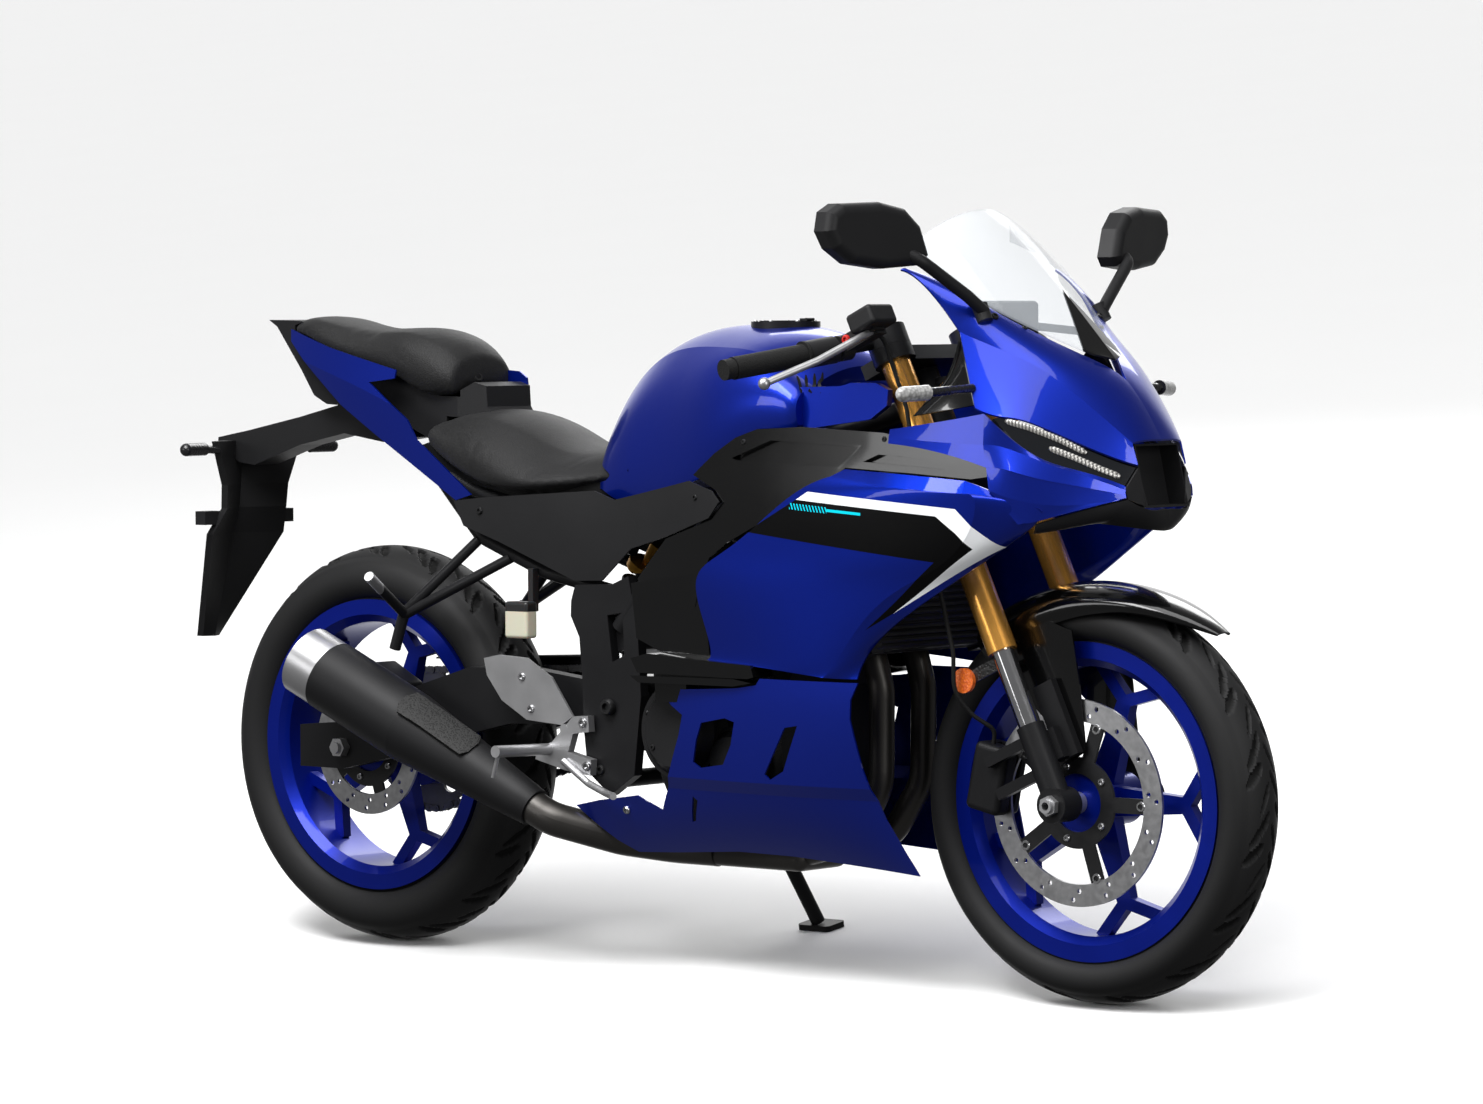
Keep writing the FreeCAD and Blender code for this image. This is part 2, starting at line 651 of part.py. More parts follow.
# Side stand pivot: where the leg turns, and where its foot meets the floor as the machine leans.
LEAN = math.radians(size("lean"))
FLOOR_DROP = size("rear_crown_radius") * (1 - math.cos(LEAN))


def floor_height(y):
    """Height of the leaned floor over the upright one, at some distance to the left."""
    return (y * math.sin(LEAN) - FLOOR_DROP) / math.cos(LEAN)


STAND_PIVOT = Vector(600 * STRETCH, 150, 250)
FOOT_Y = 268.0
FOOT = Vector(650 * STRETCH, FOOT_Y, floor_height(FOOT_Y))
STAND_FOLDED = Vector(-0.975, 0.10, -0.06)
STAND_DOWN = FOOT - STAND_PIVOT
STAND_DOWN.normalize()
STAND_AXIS = STAND_DOWN.cross(STAND_FOLDED)
STAND_AXIS.normalize()
STAND_SWING = math.degrees(STAND_DOWN.getAngle(STAND_FOLDED))
STAND_EYE = 12.0

# Frame: a head tube, two spars down each side, and plates that hold the swingarm pivot.
head_low = YOKE_LOW + YOKE_THICK + 1.0
head_high = YOKE_TOP - 1.0
head = Part.makeCylinder(27.0, head_high - head_low, Vector(STEM.x, 0, head_low))
head_bore = Part.makeCylinder(STEM_RADIUS + size("axle_clearance"), 400.0, Vector(STEM.x, 0, head_low - 50))
head = head.transformed(ON_FORK.Matrix)
head_bore = head_bore.transformed(ON_FORK.Matrix)


def on_head(share):
    return ON_FORK.multVec(Vector(STEM.x, 0, head_low + (head_high - head_low) * share))


TUBE = size("frame_tube_radius")
spar = tube([on_head(0.72) + Vector(0, -10, 0), at(972, 112, 812), at(790, 148, 690), at(640, 131, 590),
             at(586, 130, 520)], TUBE, 60.0)
lower = tube([on_head(0.2) + Vector(0, -10, 0), at(1010, 100, 735), at(900, 128, 655), at(780, 148, 676)],
             TUBE * 0.8, 60.0)
plate_outline = [(506, 584), (580, 587), (612, 600), (630, 520), (636, 420), (622, 300), (575, 268), (530, 302),
                 (522, 368), (520, 439), (514, 505), (497, 537), (498, 560)]
plate = prism(plate_outline, -146.0, -128.0)
plate = plate.cut(prism([(570, 540), (600, 545), (604, 480), (580, 470)], -150.0, -120.0))
ties = [across(15.0, 130.0, Vector(580 * STRETCH, 0, 500)), across(13.0, 130.0, Vector(580 * STRETCH, 0, 292))]
PIVOT_SHAFT = 9.0
shaft = across(PIVOT_SHAFT, 150.0, PIVOT)
lug_block = block(Vector(588 * STRETCH, 112, 236), Vector(612 * STRETCH, 129, 304))
lug_boss = rod(STAND_PIVOT - STAND_AXIS * 40, STAND_PIVOT - STAND_AXIS * (STAND_EYE + 0.8), 18.0)
frame = union(head, spar, mirrored(spar), lower, mirrored(lower), plate, mirrored(plate), shaft, lug_block, lug_boss,
              *ties)
node("main_frame", frame.cut(head_bore))

# Seat rails: two tubes from the spars back to the tail, tied across.
RAIL = size("subframe_tube_radius")
rail = tube([at(604, 122, 640), at(420, 108, 688), at(262, 100, 720), at(150, 88, 768), at(-60, 60, 880)], RAIL, 80.0)
brace = tube([at(560, 118, 574), at(420, 112, 600), at(276, 100, 650), at(160, 89, 762)], RAIL, 60.0)
rail_ties = [across(9.0, half, Vector(x * STRETCH, 0, z))
             for x, half, z in ((200, 92.0, 746), (-40, 62.0, 869), (420, 108.0, 688), (556, 118.0, 652))]
node("seat_subframe", union(rail, mirrored(rail), brace, mirrored(brace), *rail_ties).cut(frame))

# Swingarm: two deep box arms joined ahead of the tyre, on the frame's pivot shaft.
ARM_OUTER = size("swingarm_spread") + size("swingarm_wall") / 2
ARM_INNER = size("swingarm_spread") - size("swingarm_wall") / 2
arm_outline = [(602, 425), (560, 434), (400, 452), (270, 450), (148, 413), (30, 356), (-92, 346), (-92, 280),
               (0, 280), (110, 304), (248, 342), (352, 366), (560, 374), (602, 383)]
arm = prism(arm_outline, -ARM_OUTER, -ARM_INNER)
bridge = block(Vector(345 * STRETCH, -ARM_INNER, 372), Vector(430 * STRETCH, ARM_INNER, 424))
boss = Part.makeCylinder(24.0, ARM_OUTER - 76, Vector(PIVOT.x, -ARM_OUTER, PIVOT.z), Vector(0, 1, 0))
swingarm = union(arm, mirrored(arm), bridge, boss, mirrored(boss))
swingarm = swingarm.cut([across(PIVOT_SHAFT + size("axle_clearance"), 200, PIVOT),
                         across(size("rear_axle_radius"), 200, REAR_AXLE)])
BOBBIN = Vector(96 * STRETCH, ARM_OUTER, 322)
bobbin_hole = Part.makeCylinder(4.0, 18.0, BOBBIN, Vector(0, -1, 0))
swingarm = swingarm.cut([bobbin_hole, mirrored(bobbin_hole)])
node("swingarm", swingarm)

rear_spacer = Part.makeCylinder(15.0, ARM_INNER - REAR_HUB - HUB_GAP, Vector(0, REAR_HUB + HUB_GAP, 0),
                                Vector(0, 1, 0))
rear_spacers = [rear_spacer, mirrored(rear_spacer)]
rear_nuts = [hexagon(27.0, ARM_OUTER, ARM_OUTER + 14), hexagon(27.0, -ARM_OUTER - 14, -ARM_OUTER)]
node("rear_axle", union(across(size("rear_axle_radius"), ARM_OUTER + 20), *rear_spacers, *rear_nuts), ON_REAR_AXLE)
node("rear_caliper", caliper(size("rear_disc_radius"), size("rear_disc_offset"), 62.0, ARM_INNER - 0.3, 34.0, 38.0),
     ON_REAR_AXLE)

# Rear shock: a damper in a coil between the frame's cross tube and the swingarm's bridge.
shock_low = Vector(416 * STRETCH, 0, 422)
shock_high = Vector(550 * STRETCH, 0, 640)
way = shock_high - shock_low
way.normalize()
damper = rod(shock_low, shock_high, 14.0)
seats = [rod(shock_low + way * 30, shock_low + way * 38, 34.0), rod(shock_high - way * 48, shock_high - way * 36, 34.0)]
coil = Part.makeHelix(22.0, (shock_high - shock_low).Length - 86, 26.0)
coil_wire = Part.Wire(coil)
coil_ring = Part.Wire(Part.makeCircle(5.5, Vector(26.0, 0, 0), Vector(0, 1, 0)))
coil_body = coil_wire.makePipeShell([coil_ring], True, True)
coil_body.Placement = Placement(shock_low + way * 38, Rotation(Vector(0, 0, 1), way))
shock = union(damper, *seats)
node("rear_shock", group(shock.cut([swingarm, *rail_ties]), coil_body))
guard_top = prism([(20, 444), (330, 458), (330, 461), (20, 447)], 72.0, 98.0)
guard_side = prism([(20, 428), (330, 446), (330, 461), (20, 447)], 98.0, 101.0)
node("chain_guard", union(guard_top, guard_side).cut(swingarm))

# Engine: a parallel twin leaning forward, narrow at the left where the chain leaves it.
crankcase = prism([(640, 470), (760, 500), (880, 440), (892, 300), (850, 222), (700, 214), (655, 300)], -122.0, 72.0)
left_case = prism([(722, 480), (760, 500), (880, 440), (892, 300), (850, 222), (722, 214)], 72.0, 118.0)
cylinder = prism([(752, 490), (884, 436), (946, 600), (806, 655)], -104.0, 104.0)
head_block = prism([(806, 655), (946, 600), (968, 648), (950, 672), (840, 712), (818, 700)], -112.0, 112.0)
fins = [prism([(752 + 17 * i, 500 + 40 * i), (896 + 17 * i, 444 + 40 * i), (899 + 17 * i, 452 + 40 * i),
               (755 + 17 * i, 508 + 40 * i)], -112.0, 112.0) for i in range(1, 4)]
engine = union(crankcase, left_case, cylinder, head_block, *fins).cut(frame)
node("engine_block", engine)


def round_cover(centre, radius, deep, side):
    base = Part.makeCylinder(radius, deep * 0.6, Vector(0, 0, 0), Vector(0, side, 0))
    dome = Part.makeCone(radius * 0.92, radius * 0.72, deep * 0.4, Vector(0, side * deep * 0.6, 0), Vector(0, side, 0))
    return union(base, dome).translated(centre)


clutch = union(round_cover(Vector(712 * STRETCH, -122, 372), 74.0, 42.0, -1),
               round_cover(Vector(812 * STRETCH, -122, 330), 52.0, 30.0, -1))
generator = union(round_cover(Vector(800 * STRETCH, 118, 330), 70.0, 40.0, 1),
                  round_cover(Vector(728 * STRETCH, 118, 440), 30.0, 14.0, 1))
sprocket_cover = prism([(612, 470), (720, 482), (720, 360), (640, 352), (606, 400)], 99.0, 117.0)
node("engine_covers", group(clutch, union(generator, sprocket_cover)))

# Radiator: a finned core between two side tanks, tilted with the fork ahead of the engine.
core = block(Vector(-14, -140, -105), Vector(14, 140, 105))
slots = [block(Vector(9, -136, -100 + 10 * i), Vector(14, 136, -95 + 10 * i)) for i in range(20)]
tanks = [block(Vector(-20, s * 140 - 14, -110), Vector(20, s * 140 + 14, 110)) for s in (1, -1)]
radiator = union(core.cut(slots), *tanks)
radiator.Placement = Placement(Vector(1032 * STRETCH, 0, 600), Rotation(Vector(0, 1, 0), -size("rake") + 8))
tabs = [rod(at(1003, s * 100, 696), at(1007, s * 100, 728), 7.0) for s in (1, -1)]
node("radiator", union(radiator, *tabs).cut(frame))

# Exhaust: two headers down in front of the engine, a box beneath it, one pipe to the silencer.
PIPE = size("exhaust_pipe_radius")
headers = [tube([at(944, s * 46, 578), at(990, s * 50, 540), at(1020, s * 50, 440), at(1018, s * 50, 300),
                 at(965, s * 44, 214), at(868, s * 34, 190)], PIPE, 70.0) for s in (1, -1)]
box = block(Vector(675 * STRETCH, -62, 162), Vector(875 * STRETCH, 62, 210))
box = box.makeFillet(18.0, box.Edges)
CAN = size("silencer_radius")
CAN_FRONT = at(200, 183, 357)
CAN_BACK = at(45, 198, 432)
can_way = CAN_BACK - CAN_FRONT
can_way.normalize()
NECK_LONG = 262.0
pipe_end = CAN_FRONT - can_way * (NECK_LONG + 0.3)
tail_pipe = tube([at(700, 40, 186), at(625, 54, 188), at(550, 90, 198), pipe_end - can_way * 34, pipe_end],
                 PIPE + 7, 90.0)
node("exhaust_pipes", union(*headers, box, tail_pipe).cut(engine))
can_long = (CAN_BACK - CAN_FRONT).Length + NECK_LONG
can = turned([[(0, 0), (0, PIPE + 11)], [(0, PIPE + 11), (NECK_LONG, CAN)], [(NECK_LONG, CAN), (can_long, CAN)],
              [(can_long, CAN), (can_long, 0)], [(can_long, 0), (0, 0)]])
can.Placement = Placement(CAN_FRONT - can_way * NECK_LONG, Rotation(Vector(0, 1, 0), can_way))
node("silencer", can)
cap = rod(CAN_BACK + can_way * 0.3, CAN_BACK + can_way * 52, CAN - 1)
cap = cap.cut(rod(CAN_BACK + can_way * 16, CAN_BACK + can_way * 60, CAN - 16))
node("silencer_end_cap", cap)

# Fuel tank: broad shoulders, a waist for the knees, slotted wings ahead beside the steering head.
tank = sections([
    (515, 838, (42, 828), (86, 780), (96, 724)),
    (560, 903, (60, 888), (106, 812), (118, 716)),
    (620, 948, (74, 926), (122, 828), (128, 716)),
    (700, 973, (94, 943), (140, 850), (144, 733)),
    (780, 977, (114, 943), (160, 868), (156, 758)),
    (850, 973, (128, 936), (168, 880), (164, 798)),
    (905, 957, (130, 915), (168, 882), (166, 815)),
    (950, 915, (120, 886), (158, 868), (158, 830)),
])
wing = prism([(872, 829), (945, 823), (1074, 839), (1105, 859), (1108, 882), (1085, 892), (1040, 892), (1020, 887),
              (946, 885), (880, 892)], -146.0, -135.0)
seat = sections([
    (165, 838, (70, 834), (106, 818), (102, 792)),
    (240, 843, (76, 832), (126, 792), (122, 750)),
    (320, 832, (80, 818), (138, 765), (134, 725)),
    (400, 797, (74, 786), (138, 745), (134, 722)),
    (460, 784, (64, 776), (124, 748), (124, 728)),
    (520, 790, (58, 782), (108, 758), (114, 738)),
    (596, 776, (80, 774), (122, 764), (120, 750)),
])
FILLER = Vector(800 * STRETCH, 0, 981)
neck_hole = Part.makeCylinder(40.0, 60.0, FILLER - Vector(0, 0, 30))
tank_body = union(tank, wing, mirrored(wing)).cut([seat, neck_hole])
node("fuel_tank", tank_body)
ring = Part.makeCylinder(52.0, 12.0, FILLER - Vector(0, 0, 12)).cut(tank)
node("filler_ring", ring.cut(Part.makeCylinder(40.0, 60.0, FILLER - Vector(0, 0, 30))))
lid = Part.makeCylinder(39.5, 5.0, FILLER - Vector(0, 0, 4))
LID_HINGE = FILLER + Vector(46, 0, 2.8)
hinge_ear = block(FILLER + Vector(34, -9, 0.4), FILLER + Vector(46, 9, 4.6))
knuckle = across(2.4, 9.0, LID_HINGE)
node("filler_lid", union(lid.translated(Vector(0, 0, 0.5)), hinge_ear, knuckle))

# Tail: black core, blue side panels, stepped passenger pad, lamp, and the plate hanger.
pillion = sections([
    (-166, 984, (44, 981), (60, 972), (56, 962)),
    (-80, 981, (60, 976), (84, 956), (78, 938)),
    (10, 969, (64, 963), (92, 940), (86, 914)),
    (78, 970, (64, 963), (94, 930), (88, 895)),
    (120, 966, (62, 955), (92, 915), (82, 874)),
    (165, 950, (58, 936), (84, 900), (74, 866)),
    (193, 924, (52, 914), (70, 888), (62, 864)),
])
core_outline = [(-229, 986), (-150, 984), (60, 915), (190, 874), (216, 888), (236, 882), (238, 850), (262, 812),
                (150, 790), (20, 846), (-93, 852), (-121, 866), (-150, 905), (-209, 975)]
plan = [Vector(x * STRETCH, y, 780) for x, y in ((-240, -47), (-120, -58), (188, -58), (265, -36),
                                                     (265, 58), (-120, 58), (-240, 47))]
core = prism(core_outline, -58.0, 58.0).common(
    Part.Face(Part.makePolygon(plan + plan[:1])).extrude(Vector(0, 0, 220)))
lamp_cut = prism([(-240, 990), (-205, 979), (-144, 905), (-160, 880)], -42.0, 42.0)
tail_core = core.cut([pillion, seat, rail, mirrored(rail), brace, mirrored(brace), *rail_ties, lamp_cut])
node("tail_core", tail_core)
lamp = prism([(-213, 974), (-152, 903), (-144, 905), (-205, 979)], -41.0, 41.0)
node("tail_lamp", lamp)
PANEL = size("panel_wall")
tail_rows = [
    [[at(-220, 44, 1000), at(-60, 82, 980), at(80, 96, 940), at(220, 104, 900), at(320, 110, 860)]],
    [[at(-220, 60, 950), at(-60, 97, 905), at(80, 112, 860), at(220, 122, 800), at(320, 130, 750)]],
    [[at(-220, 56, 900), at(-60, 92, 850), at(80, 108, 780), at(220, 122, 700), at(320, 132, 660)]],
]
tail_outline = [(-161, 971), (-60, 943), (99, 907), (98, 894), (44, 888), (134, 830), (155, 799), (278, 716),
                (243, 707), (60, 805), (-24, 852), (-156, 952)]


def panel(groups, outline, push):
    """A moulded panel: a creased wall trimmed to its side-view outline."""
    return skin(groups, push).common(prism(outline, -320.0, 0.0))


tail_panel = panel([tail_rows[0:2], tail_rows[1:3]], tail_outline, Vector(0, PANEL, 0))
lobe = prism([(187, 906), (214, 904), (229, 894), (232, 875), (232, 835), (213, 833), (190, 860)], 58.3, 61.3)
node("tail_fairings", group(tail_panel, mirrored(tail_panel), lobe))
node("pillion_seat", pillion.cut([tail_panel, mirrored(tail_panel), lobe]))
node("rider_seat", seat.cut([tail_panel, mirrored(tail_panel), lobe]))

arm_outline = [(20, 846), (-93, 851), (-184, 830), (-296, 808), (-366, 796), (-368, 780), (-319, 756), (-285, 752),
               (-184, 785), (-85, 805), (0, 792), (60, 800)]
hanger_arm = prism(arm_outline, -27.0, 27.0).cut(tail_core)


def level_ring(middle, edge, half, height):
    """A level outline swept forward at both edges, as a plate carrier is seen from above."""
    ring = [(edge, -half), (middle + 24, 0), (edge, half), (edge - 14, half), (middle, 0), (edge - 14, -half)]
    corners = [Vector(x * STRETCH, y, height) for x, y in ring]
    return Part.makePolygon(corners + corners[:1])


carrier = Part.makeLoft([level_ring(-362, -298, 97, 791), level_ring(-366, -303, 70, 720),
                         level_ring(-370, -306, 68, 682), level_ring(-385, -326, 82, 640),
                         level_ring(-428, -413, 18.5, 470)], True, True)
lugs = [block(Vector(-345 * STRETCH, s * 84 - 18, 656), Vector(-323 * STRETCH, s * 84 + 18, 678)) for s in (1, -1)]
node("rear_mudguard", union(hanger_arm, carrier, *lugs))


def indicator(root, lamp_start, lamp_end, radius):
    stalk = rod(root, lamp_start, 6.5)
    body = union(rod(lamp_start, lamp_end, radius), Part.makeSphere(radius, lamp_end), stalk)
    return body


front_blinker = indicator(at(1288, 183, 886), at(1284, 280, 881), at(1272, 322, 879), 11.0)
rear_blinker = indicator(at(-305, 91, 777), at(-304, 122, 779), at(-298, 168, 779), 10.5).cut(carrier)

# Side covers under the tank and seat.
cover_rows = [
    [[at(200, 120, 780), at(400, 127, 780), at(600, 138, 780), at(740, 166, 780), at(860, 186, 780)]],
    [[at(200, 124, 640), at(400, 136, 640), at(600, 152, 640), at(740, 172, 640), at(860, 190, 640)]],
    [[at(200, 122, 560), at(400, 132, 560), at(600, 146, 560), at(740, 164, 560), at(860, 182, 560)]],
]
cover_outline = [(240, 706), (299, 712), (540, 727), (585, 714), (754, 746), (806, 732), (822, 716), (800, 692),
                 (704, 662), (625, 642), (560, 592), (500, 590), (340, 645), (262, 668)]
side_cover = panel([cover_rows], cover_outline, Vector(0, PANEL, 0))
node("side_covers", both_sides(side_cover))

# Side fairings: flat flanks, a bright chamfer along the top and another along the leading edge.
flank_rows = [
    [[at(1061, 188, 768), at(1180, 200, 762), at(1290, 204, 755)], [at(1290, 204, 755), at(1308, 196.5, 748), at(1324, 189.5, 741)]],
    [[at(1040, 197, 757), at(1170, 210, 745), at(1290, 212, 735)], [at(1290, 212, 735), at(1326, 194.5, 728), at(1356, 178, 719)]],
    [[at(916, 200, 692), at(1100, 212, 692), at(1306, 208, 696)], [at(1306, 208, 696), at(1350, 185, 698), at(1386, 163, 697)]],
    [[at(850, 196, 650), at(1080, 211, 648), at(1266, 204, 648)], [at(1266, 204, 648), at(1306, 189, 654), at(1332, 167, 660)]],
    [[at(787, 192, 609), at(1000, 208, 606), at(1176, 204, 600)], [at(1176, 204, 600), at(1208, 194, 600), at(1239, 183, 601)]],
    [[at(789, 191, 560), at(960, 206, 556), at(1108, 204, 552)], [at(1108, 204, 552), at(1137, 195, 554), at(1166, 185, 557)]],
    [[at(801, 190, 484), at(920, 202, 476), at(1030, 203, 466)], [at(1030, 203, 466), at(1056, 196, 465), at(1083, 189, 465)]],
]
flank = skin([flank_rows[0:2], flank_rows[1:]], Vector(0, PANEL, 0))
node("side_fairings", both_sides(flank))

# Black infill panels between tank, side cover and fairing, with the cockpit sides and two fins below.
infill_rows = [
    [[at(600, 146, 860), at(760, 162, 860), at(900, 171, 860), at(1060, 177, 860), at(1230, 182, 860), at(1420, 184, 860)]],
    [[at(600, 152, 740), at(760, 172, 740), at(900, 183, 740), at(1060, 187, 740), at(1230, 191, 740), at(1420, 190, 740)]],
    [[at(600, 150, 560), at(760, 178, 560), at(900, 184, 560), at(1060, 190, 560), at(1230, 194, 560), at(1420, 194, 560)]],
]
infill_outline = [(761, 755), (803, 787), (845, 811), (887, 824), (975, 828), (1125, 821), (1228, 803), (1330, 780), (1368, 767), (1290, 757),
                  (1180, 764), (1060, 770), (1038, 757), (914, 693), (834, 656), (800, 634), (785, 611), (770, 560),
                  (700, 570), (642, 597), (706, 659), (803, 690), (825, 716), (808, 734)]
infill = panel([infill_rows], infill_outline, Vector(0, PANEL, 0))
vents = [[(840, 781), (915, 808), (1083, 800), (1064, 784), (1046, 771), (849, 778)],
         [(1092, 779), (1121, 790), (1265, 777), (1240, 770)]]
VENT_DEPTH = 10.0
for vent in vents:
    middle_x = sum(x for x, z in vent) / len(vent)
    middle_z = sum(z for x, z in vent) / len(vent)
    wide = [(middle_x + (x - middle_x) * 1.04, middle_z + (z - middle_z) * 1.2) for x, z in vent]
    tray = panel([infill_rows], wide, Vector(0, VENT_DEPTH + PANEL, 0)).cut(tank)
    pocket = panel([infill_rows], vent, Vector(0, VENT_DEPTH + PANEL, 0)).translated(Vector(0, -PANEL, 0))
    infill = infill.fuse(tray).cut(pocket)
cockpit = skin([[[[at(1254, 168, 958), at(1294, 188, 862)]], [[at(1222, 150, 905), at(1192, 196, 846)]]]], Vector(-1, PANEL, -1))
fin_top = prism([(700, 490), (799, 484), (898, 479), (904, 462), (892, 459), (681, 461), (668, 482)], -207.0, -160.0)
fin_low = prism([(665, 456), (864, 458), (898, 453), (864, 447), (681, 446)], -205.0, -160.0)
lower_infill = prism([(645, 592), (760, 608), (783, 606), (797, 490), (700, 492), (655, 510)], -178.0, -174.0)
fin_root = block(Vector(690 * STRETCH, -176, 446), Vector(860 * STRETCH, -160, 490))
fin_hanger = block(Vector(700 * STRETCH, -188, 418), Vector(760 * STRETCH, -160, 450))
fins_body = union(fin_top, fin_low, fin_root, fin_hanger, lower_infill)
fins_body = fins_body.cut(flank)

# Lower cowls: a stepped belly pan in two halves, with vents cut through.
belly_rows = [[[at(480, w[0], z), at(700, w[1], z), at(900, w[2], z), at(1060, w[3], z), at(1170, w[4], z)]]
              for z, w in ((470, (150, 180, 199, 198, 182)), (395, (152, 184, 199, 196, 174)),
                           (306, (150, 180, 193, 186, 162)), (288, (146, 170, 181, 175, 152)),
                           (235, (136, 150, 156, 156, 147)), (175, (108, 104, 106, 120, 138)))]
belly_outline = [(1089, 460), (1076, 435), (1074, 406), (1090, 334), (1113, 262), (1139, 208), (1155, 180), (1051, 186),
                 (912, 194), (807, 195), (681, 186), (602, 182), (571, 199), (503, 250), (557, 261), (641, 273),
                 (688, 253), (713, 293), (745, 369), (753, 400), (730, 413), (705, 435), (864, 444), (902, 450), (910, 460)]
belly = panel([belly_rows[0:3], belly_rows[2:4], belly_rows[3:6]], belly_outline, Vector(0, PANEL, 0))
window = prism([(792, 390), (840, 399), (859, 394), (851, 360), (834, 330), (788, 323), (773, 331), (781, 364)], -260, 0)
slit = prism([(924, 312), (914, 320), (956, 390), (980, 394), (950, 326)], -260, 0)
notch = prism([(742, 238), (750, 240), (766, 272), (758, 278)], -260, 0)
belly = belly.cut([window, slit, notch])
stand_space = block(Vector(480 * STRETCH, 0, 150), Vector(654 * STRETCH, 300, 296))
node("lower_cowls", group(belly, mirrored(belly).cut(stand_space)))

# Front cowl: an upper shell from the screen to the duct, and a wing under each headlamp.
crest = [[at(1170, 178, 1056), at(1215, 156, 1036), at(1262, 128, 1008)],
         [at(1262, 128, 1008), at(1316, 90, 970), at(1375, 44, 934), at(1425, 0, 896), at(1486, 0, 812)]]
middle = [[at(1167, 184, 1057), at(1210, 172, 1036), at(1260, 154, 1002)],
          [at(1260, 154, 1002), at(1314, 126, 960), at(1376, 86, 924), at(1432, 46, 882), at(1484, 36, 812)]]
crease = [[at(1164, 188, 1055), at(1205, 182, 1030), at(1256, 170, 966)],
          [at(1256, 170, 966), at(1305, 148, 943), at(1361, 122, 914), at(1420, 94, 866), at(1478, 60, 808)]]
brow = [[at(1298, 190, 858), at(1335, 176, 846), at(1370, 157, 838), at(1432, 112, 805), at(1487, 59, 777)]]
shell = skin([[crest, middle, crease], [[crease[1]], brow]], Vector(-1.2, 1.6, -2.4))
wing_rows = [
    [[at(1142, 186, 826), at(1235, 190, 838), at(1312, 188, 850)],
     [at(1312, 188, 850), at(1345, 179, 820), at(1388, 157, 787), at(1434, 125, 769), at(1481, 81, 747)]],
    [[at(1142, 189, 815), at(1235, 193, 809), at(1312, 190, 806)],
     [at(1312, 190, 806), at(1350, 178, 800), at(1394, 158, 782), at(1438, 127, 764), at(1482, 82, 742)]],
    [[at(1142, 190, 806), at(1235, 196, 795), at(1318, 192, 774)],
     [at(1318, 192, 774), at(1355, 186, 770), at(1391, 169, 759), at(1436, 134, 748), at(1482, 83, 735)]],
    [[at(1318, 194, 768), at(1322, 195, 755), at(1326, 196, 742)],
     [at(1326, 196, 742), at(1348, 190, 728), at(1389, 170, 698), at(1428, 142, 711), at(1483, 82, 731)]],
]
cowl_wing = skin([wing_rows[0:2], wing_rows[1:3]], Vector(-0.6, PANEL, 0))
OVERLAP = Vector(0, 1.0, 2.0)
nose_rows = [[[point + OVERLAP for point in wing_rows[2][1]]],
             [[at(1326, 196, 742), at(1360, 185, 730), at(1400, 165, 722), at(1440, 130, 722), at(1483, 82, 731)]],
             [[at(1366, 181, 694), at(1378, 176, 696), at(1389, 170, 698), at(1428, 142, 711), at(1483, 81, 730)]]]
cowl_cheek = skin([nose_rows[0:2], nose_rows[1:3]], Vector(-1.2, PANEL, 0))
cowl_side = union(cowl_wing, cowl_cheek)
node("front_cowl", group(union(shell, mirrored(shell)), both_sides(cowl_side)))
infill = max(infill.cut(cowl_side).Solids, key=lambda solid: solid.Volume)
cockpit = cockpit.cut([shell, cowl_side])
node("fairing_infills", both_sides(group(infill, cockpit, fins_body.cut([belly, clutch]))))
front_blinker = front_blinker.cut([shell, cowl_side, cockpit])
node("indicators", both_sides(group(front_blinker, rear_blinker)))

lens_rows = [[[at(1322, 178, 843), at(1368, 155, 834), at(1430, 111, 801), at(1484, 60, 773)]],
             [[at(1346, 174, 818), at(1388, 154, 785), at(1434, 122, 767), at(1479, 80, 748)]]]
lens = skin([lens_rows], Vector(-15, 9, -6)).cut([shell, cowl_side])
node("headlamps", both_sides(lens))

bridge_rows = [[[at(1487, 58, 772), at(1491, 52, 745), at(1496, 46, 716)]],
               [[at(1481, 80, 744), at(1482, 80, 738), at(1483, 78, 730)]]]
cheek_trim = skin([bridge_rows], Vector(-3, 0, 0))
chin_rows = [[[at(1484, 78, 728), at(1497, 45, 713), at(1499, 20, 712), at(1499, 0, 712)]],
             [[at(1470, 84, 706), at(1490, 48, 700), at(1497, 22, 696), at(1498, 0, 695)]],
             [[at(1440, 88, 694), at(1470, 54, 688), at(1486, 26, 684), at(1490, 0, 682)]]]
chin_side = [[at(1389, 166, 694), at(1425, 140, 707), at(1455, 112, 718), at(1484, 78, 728)],
             [at(1384, 162, 684), at(1415, 138, 692), at(1445, 112, 700), at(1470, 84, 706)],
             [at(1372, 150, 680), at(1396, 132, 684), at(1420, 110, 690), at(1440, 88, 694)]]
chin = skin([[[side, row[0]] for side, row in zip(chin_side, chin_rows)]], Vector(-2.6, 0, 1))
duct = prism([(1476, 806), (1496, 716), (1410, 716), (1396, 800)], -53.0, 53.0)
duct = duct.cut(prism([(1500, 803), (1520, 719), (1464, 719), (1446, 803)], -50.0, 50.0))
duct = duct.cut(prism([(1440, 795), (1458, 722), (1400, 722), (1380, 795)], -50.0, 50.0))
chin_half = union(chin, cheek_trim).cut([shell, cowl_side, lens])
node("nose_chin", union(chin_half, mirrored(chin_half), duct.cut([shell, mirrored(shell), lens, mirrored(lens)])))

